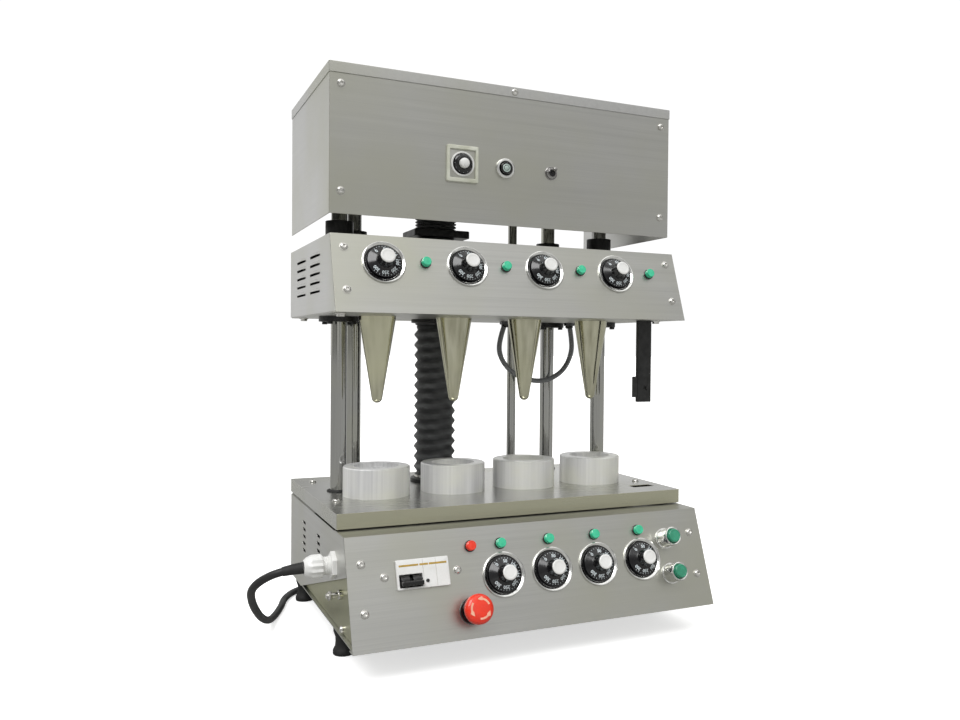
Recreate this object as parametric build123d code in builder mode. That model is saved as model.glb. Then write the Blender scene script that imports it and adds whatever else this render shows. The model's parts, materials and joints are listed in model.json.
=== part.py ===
"""Four-head cone moulding press for the bench: base with heated moulds, rising head, drive cabinet.

Millimetres, +Z up, +X to the machine's right, front face towards -Y.
The origin is on the bench under the centre of the machine.
"""
from build123d import *
import math
import os

os.makedirs("parts", exist_ok=True)

# ---------------------------------------------------------------- driving dimensions
FRONT = -68.85            # Y of the drive cabinet's front face
DECK = 205.0              # height of the deck's top face
SHEET = 1.5               # stainless sheet thickness
TRAVEL = 205.0            # head stroke, downwards

CAB_W, CAB_D = 560.0, 290.0              # drive cabinet, outside
CAB_LOW, CAB_HIGH = DECK + 412, DECK + 607.5
LID_H, LID_LAP = 15.3, 1.2               # lid rim height, how far it stands proud
FLOOR_Z, FLOOR_T = DECK + 470, 6.0       # drive cabinet's floor, set up inside the skirt

HEAD_W = 562.0
HEAD_LOW, HEAD_HIGH = DECK + 273, DECK + 383.3
HEAD_REAR = FRONT + 292
HEAD_TOP_Y, HEAD_LOW_Y = FRONT - 11.6, FRONT - 51.1   # front face, top and bottom edge
PLATE_T = 8.0

BASE_W = 555.0
BASE_LOW, BASE_HIGH = 43.0, DECK - 23.4
BASE_REAR = FRONT + 300
PANEL_TOP_Y, PANEL_LOW_Y = FRONT - 88.3, FRONT - 140.5
DECK_FRONT, DECK_SKIRT, DECK_T = FRONT - 45.8, 21.5, 2.0

COLUMN_R = 12.5
COLUMNS = [(-232, FRONT + 147), (232, FRONT + 147), (-183, FRONT + 254), (183, FRONT + 254)]
BEARING_R, FLANGE_R, FLANGE_T = 21.5, 31.0, 8.0
BEARING_TOP = DECK + 421
RUNNING = 0.05                           # radial clearance of every running fit
CONDUIT = (107, FRONT + 246)
CONDUIT_R = 8.0

MOULD_Y = FRONT + 91
MOULD_X = [-186 + 124 * i for i in range(4)]
MOULD_R, MOULD_H, MOULD_SKIRT_R = 50.8, 44.6, 41.0
MOULD_DEPTH = 82.0
CONE_TOP_R, CONE_TIP_R, CONE_L = 28.0, 8.0, 132.5

SCREW = (-56, FRONT + 200)
SCREW_R, SCREW_TOP = 10.0, DECK + 600
NUT_R, NUT_FLANGE_LOW, NUT_FLANGE_T = 31.0, DECK + 410, 12.0
BELLOWS_R, BELLOWS_BORE = 36.0, 25.0
MOTOR = (76, FRONT + 170)
PULLEY_LOW, PULLEY_T = DECK + 574, 16.0
BIG_PULLEY_R, SMALL_PULLEY_R = 40.0, 20.0

BAR_X, BAR_Y = 242, FRONT + 10
BAR_W, BAR_T, BAR_L = 26.0, 8.0, 134.0
LUG_OUT, PIN_OUT = 7.0, 5.0              # how far the trip bar's lug and pin stand out of it

DIAL_X_HEAD = [-208.8 + 125 * i for i in range(4)]
DIAL_X_PANEL = [-60 + 75 * i for i in range(4)]
HEAD_DIAL_S, HEAD_LAMP_S = 76.0, 78.0    # distances up the sloped faces
PANEL_DIAL_S, PANEL_LAMP_S = 79.0, 122.0
BEZEL_R, BEZEL_T, KNOB_R = 31.5, 3.0, 24.0
LAMP_R = 8.0
START_BUTTONS = [(211, 105.5), (211, 53)]
ESTOP = (-112, 36)
BREAKER = (-176.5, 92.5)
BREAKER_W, BREAKER_H = 73.0, 39.0
AIR = 0.3                                # air between a moving control and its socket

CORD_R = 5.5
GLAND = (FRONT - 34, DECK - 71)


def slope_plane(low_y, low_z, high_y, high_z):
    """Plane of a sloped front face: local x along the machine, local y up the slope."""
    run, rise = high_y - low_y, high_z - low_z
    length = math.hypot(run, rise)
    return Plane(origin=(0, low_y, low_z), x_dir=(1, 0, 0), z_dir=(0, -rise / length, run / length))


HEAD_FACE = slope_plane(HEAD_LOW_Y, HEAD_LOW, HEAD_TOP_Y, HEAD_HIGH)
PANEL_FACE = slope_plane(PANEL_LOW_Y, BASE_LOW, PANEL_TOP_Y, BASE_HIGH)
HEAD_SLOPE = math.hypot(HEAD_TOP_Y - HEAD_LOW_Y, HEAD_HIGH - HEAD_LOW)
PANEL_SLOPE = math.hypot(PANEL_TOP_Y - PANEL_LOW_Y, BASE_HIGH - BASE_LOW)


def save(piece, name):
    """Label a finished part and write its STEP file."""
    piece.part.label = name
    export_step(piece.part, f"parts/{name}.step")


def fold(points, gauge):
    """Outline of a folded sheet: the outer line, then the same line moved in by the gauge."""
    inner = []
    for i, (y, z) in enumerate(points):
        before = points[max(i - 1, 0)]
        after = points[min(i + 1, len(points) - 1)]
        normals = []
        for a, b in ((before, (y, z)), ((y, z), after)):
            length = math.hypot(b[0] - a[0], b[1] - a[1])
            if length > 0:
                normals.append((-(b[1] - a[1]) / length, (b[0] - a[0]) / length))
        ny = sum(n[0] for n in normals) / len(normals)
        nz = sum(n[1] for n in normals) / len(normals)
        scale = gauge / (ny * ny + nz * nz)
        inner.append((y + ny * scale, z + nz * scale))
    return list(points) + inner[::-1]


# ================================================================ BASE
base_outline = [
    (BASE_REAR, BASE_LOW + SHEET),
    (BASE_REAR, BASE_HIGH - SHEET),
    (PANEL_TOP_Y + 3, BASE_HIGH - SHEET),
    (PANEL_LOW_Y + 3, BASE_LOW + SHEET),
]
# the cut-out in the left side rises from the rear corner to the front edge
cutout = [
    (FRONT + 218, BASE_LOW - 1),
    (FRONT - 119, DECK - 68),
    (PANEL_LOW_Y - 5, BASE_LOW - 1),
]

with BuildPart() as base_shell:
    with BuildSketch(Plane.YZ.offset(-BASE_W / 2)):
        Polygon(*base_outline, align=None)
    extrude(amount=BASE_W)
    with BuildSketch(Plane.YZ.offset(-BASE_W / 2 + SHEET)):
        with Locations((BASE_REAR - SHEET, BASE_LOW + 60)):
            Rectangle(600, 400, align=(Align.MAX, Align.CENTER))
    extrude(amount=BASE_W - 2 * SHEET, mode=Mode.SUBTRACT)
    with BuildSketch(Plane.YZ.offset(-BASE_W / 2 - 1)):
        Polygon(*cutout, align=None)
    extrude(amount=SHEET + 2, mode=Mode.SUBTRACT)
    with BuildSketch(Plane.YZ.offset(-BASE_W / 2 - 1)):
        for louvre_y in (FRONT + 182, FRONT + 73):
            with Locations(*[(louvre_y, DECK - 53 - 11 * row) for row in range(5)]):
                SlotOverall(22, 4.5)
    extrude(amount=BASE_W + 2, mode=Mode.SUBTRACT)
save(base_shell, "base_shell")

with BuildPart() as base_floor:
    with BuildSketch(Plane.XY.offset(BASE_LOW + SHEET)):
        with Locations((0, (BASE_REAR - SHEET + PANEL_LOW_Y + 6) / 2)):
            Rectangle(BASE_W - 2 * SHEET, BASE_REAR - SHEET - PANEL_LOW_Y - 6)
    extrude(amount=2.0)
    with BuildSketch(Plane.XY.offset(BASE_LOW)):
        with Locations((0, FRONT + 60)):
            with GridLocations(300, 24, 2, 5):
                SlotOverall(60, 6)
    extrude(amount=6, mode=Mode.SUBTRACT)
save(base_floor, "base_floor")

# dark recessed plate behind the cut-out, with the equipotential stud and a fixing screw
RECESS = 6.0
STUD, STUD_L = (FRONT - 51, DECK - 108), 20.0
PLATE_SCREW = (FRONT - 61, DECK - 152)
with BuildPart() as gland_plate:
    with BuildSketch(Plane.YZ.offset(-BASE_W / 2 + RECESS)):
        Polygon((FRONT + 226, BASE_LOW + 4), (FRONT + 226, BASE_LOW + 12), (FRONT - 97, DECK - 58),
                (PANEL_LOW_Y + 20, BASE_LOW + 4), align=None)
    extrude(amount=2)
    with BuildSketch(Plane.YZ.offset(-BASE_W / 2 + RECESS)):
        with Locations(STUD):
            Circle(3)
    extrude(amount=-STUD_L)
    with BuildSketch(Plane.YZ.offset(-BASE_W / 2 + RECESS)):
        with Locations(STUD):
            RegularPolygon(6.5, 6)
        with Locations(PLATE_SCREW):
            Circle(4.5)
    extrude(amount=-4)
save(gland_plate, "gland_plate")

panel_line = [
    (DECK_FRONT + 12, BASE_HIGH),
    (PANEL_TOP_Y, BASE_HIGH),
    (PANEL_LOW_Y, BASE_LOW),
    (PANEL_LOW_Y + 18, BASE_LOW),
]
with BuildPart() as control_panel:
    with BuildSketch(Plane.YZ.offset(-BASE_W / 2)):
        Polygon(*fold(panel_line, SHEET), align=None)
    extrude(amount=BASE_W)
    with BuildSketch(PANEL_FACE.offset(5)):
        with Locations(*[(x, PANEL_DIAL_S) for x in DIAL_X_PANEL]):
            Circle(7)
        with Locations(*START_BUTTONS, ESTOP):
            Circle(11.2)
        with Locations(*[(x, PANEL_LAMP_S) for x in DIAL_X_PANEL + [-105]]):
            Circle(5)
        with Locations(BREAKER):
            Rectangle(BREAKER_W - 3, BREAKER_H - 2)
    extrude(amount=-10, mode=Mode.SUBTRACT)
save(control_panel, "control_panel")

with BuildPart() as deck:
    deck_mid = (DECK_FRONT + BASE_REAR + 2) / 2
    deck_depth = BASE_REAR + 2 - DECK_FRONT
    with BuildSketch(Plane.XY.offset(DECK - DECK_SKIRT)):
        with Locations((0, deck_mid)):
            Rectangle(BASE_W + 1, deck_depth)
    extrude(amount=DECK_SKIRT)
    fillet(deck.edges().filter_by(Axis.Z), radius=2.5)
    with BuildSketch(Plane.XY.offset(DECK - DECK_SKIRT)):
        with Locations((0, deck_mid)):
            Rectangle(BASE_W + 1 - 2 * DECK_T, deck_depth - 2 * DECK_T)
    extrude(amount=DECK_SKIRT - DECK_T, mode=Mode.SUBTRACT)
    with BuildSketch(Plane.XY.offset(DECK - 5)):
        with Locations(*[(x, MOULD_Y) for x in MOULD_X]):
            Circle(MOULD_SKIRT_R)
        with Locations(*COLUMNS):
            Circle(COLUMN_R + 3)
        with Locations(SCREW):
            Circle(16)
        with Locations(CONDUIT):
            Circle(CONDUIT_R)
        with Locations((BAR_X - LUG_OUT / 2, BAR_Y - PIN_OUT / 2)):
            Rectangle(BAR_W + LUG_OUT + 6, BAR_T + PIN_OUT + 6)
    extrude(amount=10, mode=Mode.SUBTRACT)
save(deck, "deck")

with BuildPart() as column_plate:
    with BuildSketch(Plane.XY.offset(DECK - 36)):
        with Locations((0, FRONT + 201)):
            Rectangle(BASE_W - 2 * SHEET, 190)
        with Locations(*COLUMNS):
            Circle(COLUMN_R, mode=Mode.SUBTRACT)
        with Locations(SCREW):
            Circle(19, mode=Mode.SUBTRACT)
        with Locations(CONDUIT):
            Circle(CONDUIT_R, mode=Mode.SUBTRACT)
        with Locations(*[(x, MOULD_Y) for x in MOULD_X]):
            Circle(MOULD_SKIRT_R + 4, mode=Mode.SUBTRACT)
    extrude(amount=12)
save(column_plate, "column_plate")

FEET = [(-257, FRONT - 4), (257, FRONT - 4), (-257, FRONT + 283), (257, FRONT + 283)]
with BuildPart() as feet:
    for x, y in FEET:
        with BuildSketch(Plane.XZ.offset(-y)):
            Polygon((x, 0), (x + 15, 0), (x + 15.5, 8), (x + 12.5, 14), (x + 11.5, BASE_LOW), (x, BASE_LOW),
                    align=None)
        revolve(axis=Axis((x, y, 0), (0, 0, 1)))
save(feet, "feet")

with BuildPart() as guide_columns:
    for x, y in COLUMNS:
        with BuildSketch(Plane.XY.offset(DECK - 44)):
            with Locations((x, y)):
                Circle(COLUMN_R)
        extrude(amount=FLOOR_Z + FLOOR_T + 12 - DECK + 44)
save(guide_columns, "guide_columns")

with BuildPart() as conduit_tube:
    with BuildSketch(Plane.XY.offset(DECK - 40)):
        with Locations(CONDUIT):
            Circle(CONDUIT_R)
            Circle(CONDUIT_R - 1.5, mode=Mode.SUBTRACT)
    extrude(amount=FLOOR_Z + FLOOR_T + 10 - DECK + 40)
save(conduit_tube, "conduit_tube")

# each mould is a ring on the deck with a conical cavity that reaches below it
RIM_R, RIM_DEPTH, CAVITY_R, CAVITY_TIP_R, CAVITY_TIP_Z = 34.0, 7.0, 30.0, 12.0, -70.0
for number, x in enumerate(MOULD_X, 1):
    with BuildPart() as mould:
        with BuildSketch(Plane.XZ.offset(-MOULD_Y)):
            Polygon((x, DECK - MOULD_DEPTH), (x + 20, DECK - MOULD_DEPTH), (x + MOULD_SKIRT_R, DECK - 50),
                    (x + MOULD_SKIRT_R, DECK), (x + MOULD_R, DECK), (x + MOULD_R, DECK + MOULD_H - 1.5),
                    (x + MOULD_R - 1.5, DECK + MOULD_H), (x + RIM_R, DECK + MOULD_H),
                    (x + RIM_R - 1, DECK + MOULD_H - RIM_DEPTH), (x + CAVITY_R, DECK + MOULD_H - RIM_DEPTH),
                    (x + CAVITY_TIP_R, DECK + CAVITY_TIP_Z), (x, DECK + CAVITY_TIP_Z), align=None)
        revolve(axis=Axis((x, MOULD_Y, 0), (0, 0, 1)))
    save(mould, f"mould_cup_{number}")

with BuildPart() as mould_heaters:
    for x in MOULD_X:
        with BuildSketch(Plane.XY.offset(DECK - 48)):
            with Locations((x, MOULD_Y)):
                Circle(MOULD_SKIRT_R + 3.5)
                Circle(MOULD_SKIRT_R, mode=Mode.SUBTRACT)
        extrude(amount=36)
save(mould_heaters, "mould_heater_bands")

# ================================================================ DRIVE CABINET
cab_mid = FRONT + CAB_D / 2
with BuildPart() as upper_shell:
    with BuildSketch(Plane.XY.offset(CAB_LOW)):
        with Locations((0, cab_mid + SHEET / 2)):
            Rectangle(CAB_W, CAB_D - SHEET)
        with Locations((0, cab_mid - SHEET / 2)):
            Rectangle(CAB_W - 2 * SHEET, CAB_D - SHEET, mode=Mode.SUBTRACT)
    extrude(amount=CAB_HIGH - CAB_LOW)
    with BuildSketch(Plane.XY.offset(CAB_LOW - 1)):
        with Locations((0, cab_mid + CAB_D / 2)):
            Rectangle(CAB_W - 2 * SHEET, 4 * SHEET)
    extrude(amount=FLOOR_Z - CAB_LOW + 1, mode=Mode.SUBTRACT)
save(upper_shell, "upper_shell")

UPPER_Z = DECK + 498
with BuildPart() as upper_front_panel:
    with BuildSketch(Plane.XZ.offset(-FRONT)):
        with Locations((0, (CAB_LOW + CAB_HIGH) / 2)):
            Rectangle(CAB_W, CAB_HIGH - CAB_LOW)
        with Locations((-84, UPPER_Z), (-15, UPPER_Z), (63, UPPER_Z)):
            Circle(7, mode=Mode.SUBTRACT)
    extrude(amount=-SHEET)
save(upper_front_panel, "upper_front_panel")

with BuildPart() as lid:
    with BuildSketch(Plane.XY.offset(CAB_HIGH)):
        with Locations((0, cab_mid)):
            Rectangle(CAB_W + 2 * LID_LAP, CAB_D + 2 * LID_LAP)
    extrude(amount=LID_H)
    fillet(lid.edges().filter_by(Axis.Z), radius=1.5)
    with BuildSketch(Plane.XY.offset(CAB_HIGH)):
        with Locations((0, cab_mid)):
            Rectangle(CAB_W + 2 * LID_LAP - 6, CAB_D + 2 * LID_LAP - 6)
    extrude(amount=LID_H - SHEET, mode=Mode.SUBTRACT)
save(lid, "lid")

with BuildPart() as upper_floor:
    with BuildSketch(Plane.XY.offset(FLOOR_Z)):
        with Locations((0, cab_mid)):
            Rectangle(CAB_W - 2 * SHEET, CAB_D - 2 * SHEET)
        with Locations(*COLUMNS):
            Circle(COLUMN_R, mode=Mode.SUBTRACT)
        with Locations(SCREW):
            Circle(16, mode=Mode.SUBTRACT)
        with Locations(CONDUIT):
            Circle(CONDUIT_R, mode=Mode.SUBTRACT)
    extrude(amount=FLOOR_T)
save(upper_floor, "upper_floor")

with BuildPart() as screw_bearings:
    for low in (DECK - 36, FLOOR_Z + FLOOR_T):
        with BuildSketch(Plane.XY.offset(low)):
            with Locations(SCREW):
                Circle(19 if low < DECK else 28)
                Circle(SCREW_R + RUNNING, mode=Mode.SUBTRACT)
        extrude(amount=20)
save(screw_bearings, "screw_bearings")

with BuildPart() as lead_screw:
    with BuildSketch(Plane.XY.offset(DECK - 40)):
        with Locations(SCREW):
            Circle(SCREW_R)
    extrude(amount=SCREW_TOP - DECK + 40)
save(lead_screw, "lead_screw")

with BuildPart() as screw_pulley:
    with BuildSketch(Plane.XY.offset(PULLEY_LOW)):
        with Locations(SCREW):
            Circle(BIG_PULLEY_R)
            Circle(SCREW_R, mode=Mode.SUBTRACT)
    extrude(amount=PULLEY_T)
save(screw_pulley, "screw_pulley")

MOTOR_LOW, MOTOR_H, MOTOR_R, SHAFT_R = FLOOR_Z + FLOOR_T, 84.0, 44.0, 6.0
with BuildPart() as drive_motor:
    with BuildSketch(Plane.XY.offset(MOTOR_LOW)):
        with Locations(MOTOR):
            Circle(MOTOR_R)
    extrude(amount=MOTOR_H)
    fillet(drive_motor.edges().sort_by(Axis.Z)[-1], radius=5)
    with BuildSketch(Plane.XY.offset(MOTOR_LOW)):
        with Locations(MOTOR):
            RectangleRounded(104, 104, 8)
            Circle(MOTOR_R - 1, mode=Mode.SUBTRACT)
    extrude(amount=8)
    with BuildSketch(Plane.XY.offset(MOTOR_LOW + 40)):
        with Locations(MOTOR):
            Circle(SHAFT_R + RUNNING)
    extrude(amount=MOTOR_H, mode=Mode.SUBTRACT)
save(drive_motor, "drive_motor")

with BuildPart() as motor_pulley:
    with BuildSketch(Plane.XY.offset(MOTOR_LOW + 41)):
        with Locations(MOTOR):
            Circle(SHAFT_R)
    extrude(amount=PULLEY_LOW + PULLEY_T - MOTOR_LOW - 41)
    with BuildSketch(Plane.XY.offset(PULLEY_LOW)):
        with Locations(MOTOR):
            Circle(SMALL_PULLEY_R)
    extrude(amount=PULLEY_T)
save(motor_pulley, "motor_pulley")

with BuildPart() as drive_belt:
    for grow, how in ((2.3, Mode.ADD), (AIR, Mode.SUBTRACT)):
        with BuildSketch(Plane.XY.offset(PULLEY_LOW + 2)):
            with BuildLine():
                CenterArc(SCREW, BIG_PULLEY_R + grow, 0, 360)
                CenterArc(MOTOR, SMALL_PULLEY_R + grow, 0, 360)
            make_hull()
        extrude(amount=PULLEY_T - 4, mode=how)
save(drive_belt, "drive_belt")

# ================================================================ HEAD
head_outline = [
    (HEAD_REAR, HEAD_LOW + SHEET),
    (HEAD_REAR, HEAD_HIGH),
    (HEAD_TOP_Y + 3.8, HEAD_HIGH),
    (HEAD_LOW_Y + 3.8, HEAD_LOW + SHEET),
]
head_holes = [(x, y, BEARING_R + 1) for x, y in COLUMNS] + [(*CONDUIT, CONDUIT_R + 4), (*SCREW, 33)]
with BuildPart() as head_cover:
    with BuildSketch(Plane.YZ.offset(-HEAD_W / 2)):
        Polygon(*head_outline, align=None)
    extrude(amount=HEAD_W)
    with BuildSketch(Plane.YZ.offset(-HEAD_W / 2 + SHEET)):
        with Locations((HEAD_REAR - SHEET, HEAD_HIGH - SHEET)):
            Rectangle(600, 300, align=(Align.MAX, Align.MAX))
    extrude(amount=HEAD_W - 2 * SHEET, mode=Mode.SUBTRACT)
    with BuildSketch(Plane.YZ.offset(-HEAD_W / 2 - 1)):
        for louvre_y in (FRONT + 197, FRONT + 90):
            with Locations(*[(louvre_y, DECK + 360 - 13.2 * row) for row in range(5)]):
                SlotOverall(72, 5)
    extrude(amount=HEAD_W + 2, mode=Mode.SUBTRACT)
    with BuildSketch(Plane.XY.offset(HEAD_HIGH - 5)):
        for x, y, r in head_holes:
            with Locations((x, y)):
                Circle(r)
    extrude(amount=10, mode=Mode.SUBTRACT)
save(head_cover, "head_cover")

head_line = [
    (HEAD_TOP_Y + 3, HEAD_HIGH),
    (HEAD_TOP_Y, HEAD_HIGH),
    (HEAD_LOW_Y, HEAD_LOW),
    (HEAD_LOW_Y + 14, HEAD_LOW),
]
with BuildPart() as head_front_panel:
    with BuildSketch(Plane.YZ.offset(-HEAD_W / 2)):
        Polygon(*fold(head_line, SHEET), align=None)
    extrude(amount=HEAD_W)
    with BuildSketch(HEAD_FACE.offset(5)):
        with Locations(*[(x, HEAD_DIAL_S) for x in DIAL_X_HEAD]):
            Circle(7)
        with Locations(*[(x + 61, HEAD_LAMP_S) for x in DIAL_X_HEAD]):
            Circle(5)
    extrude(amount=-10, mode=Mode.SUBTRACT)
save(head_front_panel, "head_front_panel")

with BuildPart() as head_plate:
    with BuildSketch(Plane.XY.offset(HEAD_LOW)):
        with Locations((0, (HEAD_LOW_Y + 15 + HEAD_REAR - SHEET) / 2)):
            Rectangle(HEAD_W - 2 * SHEET, HEAD_REAR - SHEET - HEAD_LOW_Y - 15)
        with Locations(*COLUMNS):
            Circle(BEARING_R, mode=Mode.SUBTRACT)
        with Locations(SCREW):
            Circle(14, mode=Mode.SUBTRACT)
        with Locations(CONDUIT):
            Circle(CONDUIT_R + 4, mode=Mode.SUBTRACT)
    extrude(amount=PLATE_T)
save(head_plate, "head_plate")

with BuildPart() as guide_bearings:
    for x, y in COLUMNS:
        with BuildSketch(Plane.XY.offset(HEAD_LOW - FLANGE_T)):
            with Locations((x, y)):
                Circle(BEARING_R)
        extrude(amount=BEARING_TOP - HEAD_LOW + FLANGE_T)
        with BuildSketch(Plane.XY.offset(HEAD_LOW - FLANGE_T)):
            with Locations((x, y)):
                Circle(FLANGE_R)
        extrude(amount=FLANGE_T)
        with BuildSketch(Plane.XY.offset(HEAD_LOW - FLANGE_T - 4)):
            with Locations((x, y)):
                with PolarLocations(26, 4, 45):
                    RegularPolygon(4.5, 6)
        extrude(amount=4)
        with BuildSketch(Plane.XY.offset(HEAD_LOW - FLANGE_T - 1)):
            with Locations((x, y)):
                Circle(COLUMN_R + RUNNING)
        extrude(amount=BEARING_TOP - HEAD_LOW + FLANGE_T + 2, mode=Mode.SUBTRACT)
save(guide_bearings, "guide_bearings")

with BuildPart() as screw_nut:
    with BuildSketch(Plane.XY.offset(HEAD_LOW + PLATE_T)):
        with Locations(SCREW):
            Circle(NUT_R)
    extrude(amount=NUT_FLANGE_LOW - HEAD_LOW - PLATE_T)
    with BuildSketch(Plane.XY.offset(NUT_FLANGE_LOW)):
        with Locations(SCREW):
            RectangleRounded(96, 80, 8)
    extrude(amount=NUT_FLANGE_T)
    with BuildSketch(Plane.XY.offset(HEAD_LOW)):
        with Locations(SCREW):
            Circle(SCREW_R + RUNNING)
    extrude(amount=NUT_FLANGE_LOW + NUT_FLANGE_T - HEAD_LOW, mode=Mode.SUBTRACT)
save(screw_nut, "screw_nut")

# the cone's tip is part of a ball whose centre is on the axis
TIP_FALL = CONE_TIP_R * 0.8
TIP_BALL = (CONE_TIP_R ** 2 + TIP_FALL ** 2) / (2 * TIP_FALL)
TIP_HALF = math.asin(CONE_TIP_R / TIP_BALL) / 2
TIP_LOW = HEAD_LOW - CONE_L
for number, x in enumerate(MOULD_X, 1):
    with BuildPart() as cone:
        with BuildSketch(Plane.XZ.offset(-MOULD_Y)):
            with BuildLine():
                Polyline((x, TIP_LOW), (x, HEAD_LOW), (x + CONE_TOP_R, HEAD_LOW),
                         (x + CONE_TOP_R - 0.5, HEAD_LOW - 6), (x + CONE_TIP_R, TIP_LOW + TIP_FALL))
                bulge = (x + TIP_BALL * math.sin(TIP_HALF), TIP_LOW + TIP_BALL * (1 - math.cos(TIP_HALF)))
                ThreePointArc((x + CONE_TIP_R, TIP_LOW + TIP_FALL), bulge, (x, TIP_LOW))
            make_face()
        revolve(axis=Axis((x, MOULD_Y, 0), (0, 0, 1)))
    save(cone, f"forming_cone_{number}")

with BuildPart() as trip_bar:
    with BuildSketch(Plane.XY.offset(HEAD_LOW - BAR_L)):
        with Locations((BAR_X, BAR_Y)):
            RectangleRounded(BAR_W, BAR_T, 1.5)
    extrude(amount=BAR_L)
    with BuildSketch(Plane.XY.offset(HEAD_LOW - BAR_L + 8)):
        with Locations((BAR_X - BAR_W / 2 - LUG_OUT / 2, BAR_Y)):
            Rectangle(LUG_OUT, BAR_T - 2)
    extrude(amount=34)
    with BuildSketch(Plane.XZ.offset(-BAR_Y + BAR_T / 2)):
        with Locations((BAR_X + 4, HEAD_LOW - BAR_L + 24)):
            Circle(3.5)
    extrude(amount=PIN_OUT)
save(trip_bar, "trip_bar")

# ================================================================ SOFT PARTS ON THE HEAD
for name, low, high in (("lower_bellows", DECK + 1, HEAD_LOW - 1),
                        ("upper_bellows", NUT_FLANGE_LOW + NUT_FLANGE_T + 0.5, FLOOR_Z - 0.5)):
    with BuildPart() as bellows:
        with BuildSketch(Plane.XY.offset(low)):
            with Locations(SCREW):
                Circle(BELLOWS_R)
                Circle(BELLOWS_BORE, mode=Mode.SUBTRACT)
        extrude(amount=high - low)
    save(bellows, name)

LOOP_Y, LOOP_R = FRONT + 214, 4.5
LOOP_ROUTE = [(209, HEAD_LOW - 1.5), (214, HEAD_LOW - 26), (215, HEAD_LOW - 56), (198, HEAD_LOW - 88),
              (166, HEAD_LOW - 106), (130, HEAD_LOW - 106), (94, HEAD_LOW - 92), (70, HEAD_LOW - 64),
              (68, HEAD_LOW - 34), (80, HEAD_LOW - 2.5)]


def corner_radii(route, share=0.45):
    """Radius of each corner's arc: a share of its shorter run over the tangent of half the turn."""
    radii = []
    for before, corner, after in zip(route, route[1:], route[2:]):
        run_in = Vector(*corner) - Vector(*before)
        run_out = Vector(*after) - Vector(*corner)
        half_turn = math.radians(run_in.get_angle(run_out)) / 2
        radii.append(share * min(run_in.length, run_out.length) / math.tan(half_turn))
    return radii


def tube_along(name, route, radius):
    """Round cable whose path is straight runs joined by tangent arcs."""
    radii = corner_radii(route)
    with BuildPart() as tube:
        with BuildLine() as path:
            FilletPolyline(*route, radius=radii)
        start = Vector(*route[0])
        with BuildSketch(Plane(origin=start, z_dir=Vector(*route[1]) - start)):
            Circle(radius)
        sweep()
    length = sum(edge.length for edge in path.edges())
    expected = math.pi * radius ** 2 * length
    print(f"{name}: length {length:.0f}, tightest arc {min(radii):.0f}, "
          f"volume over expected {tube.part.volume / expected:.3f}")
    save(tube, name)


tube_along("cable_loop", [(x, LOOP_Y, z) for x, z in LOOP_ROUTE], LOOP_R)

# ================================================================ CONTROLS


def dial_sockets(face, xs, s, lamp_xs, lamp_s):
    """Bezel rings and their thermostats behind the sheet, and lamps with their tails."""
    with BuildPart() as sockets:
        with BuildSketch(face):
            with Locations(*[(x, s) for x in xs]):
                Circle(BEZEL_R)
                Circle(7, mode=Mode.SUBTRACT)
        extrude(amount=BEZEL_T)
        with BuildSketch(face.offset(-SHEET)):
            with Locations(*[(x, s) for x in xs]):
                Rectangle(40, 34)
                Circle(7, mode=Mode.SUBTRACT)
        extrude(amount=-24)
        with BuildSketch(face.offset(-16)):
            with Locations(*[(x, lamp_s) for x in lamp_xs]):
                Circle(4.9)
        extrude(amount=16)
        with BuildSketch(face):
            with Locations(*[(x, lamp_s) for x in lamp_xs]):
                Circle(LAMP_R)
        extrude(amount=9)
    return sockets


def skirted_knob(name, face, x, s):
    """Thermostat knob: shaft, numbered skirt and raised grip."""
    with BuildPart() as knob:
        with BuildSketch(face.offset(-6)):
            with Locations((x, s)):
                Circle(6)
        extrude(amount=6 + BEZEL_T + AIR)
        with BuildSketch(face.offset(BEZEL_T + AIR)):
            with Locations((x, s)):
                Circle(KNOB_R)
        extrude(amount=7, taper=12)
        with BuildSketch(face.offset(BEZEL_T + AIR + 7)):
            with Locations((x, s)):
                Circle(11)
        extrude(amount=15, taper=6)
    save(knob, name)


head_fittings = dial_sockets(HEAD_FACE, DIAL_X_HEAD, HEAD_DIAL_S, [x + 61 for x in DIAL_X_HEAD], HEAD_LAMP_S)
save(head_fittings, "head_bezels_and_lamps")
panel_sockets = dial_sockets(PANEL_FACE, DIAL_X_PANEL, PANEL_DIAL_S, DIAL_X_PANEL + [-105], PANEL_LAMP_S)

BARREL_L, BUTTON_OUT = 26.0, 5.0
with BuildPart() as panel_fittings:
    add(panel_sockets.part)
    with BuildSketch(PANEL_FACE):
        with Locations(*START_BUTTONS):
            Circle(14)
            Circle(10 + AIR, mode=Mode.SUBTRACT)
    extrude(amount=BARREL_L)
    with BuildSketch(PANEL_FACE.offset(-30)):
        with Locations(*START_BUTTONS, ESTOP):
            Circle(11)
    extrude(amount=24)
    with BuildSketch(PANEL_FACE.offset(-6)):
        with Locations(*START_BUTTONS, ESTOP):
            Circle(11)
            Circle(10 + AIR, mode=Mode.SUBTRACT)
    extrude(amount=6)
    with BuildSketch(PANEL_FACE):
        with Locations(ESTOP):
            Circle(15)
            Circle(10 + AIR, mode=Mode.SUBTRACT)
    extrude(amount=9)
save(panel_fittings, "panel_bezels_and_lamps")

for i, x in enumerate(DIAL_X_HEAD, 1):
    skirted_knob(f"head_knob_{i}", HEAD_FACE, x, HEAD_DIAL_S)
for i, x in enumerate(DIAL_X_PANEL, 1):
    skirted_knob(f"mould_knob_{i}", PANEL_FACE, x, PANEL_DIAL_S)

for name, place in zip(("start_button_upper", "start_button_lower"), START_BUTTONS):
    with BuildPart() as button:
        with BuildSketch(PANEL_FACE.offset(-1)):
            with Locations(place):
                Circle(10)
        extrude(amount=BARREL_L + BUTTON_OUT + 1)
        fillet(button.edges().sort_by(Axis.Y)[0], radius=1.5)
    save(button, name)

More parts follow.
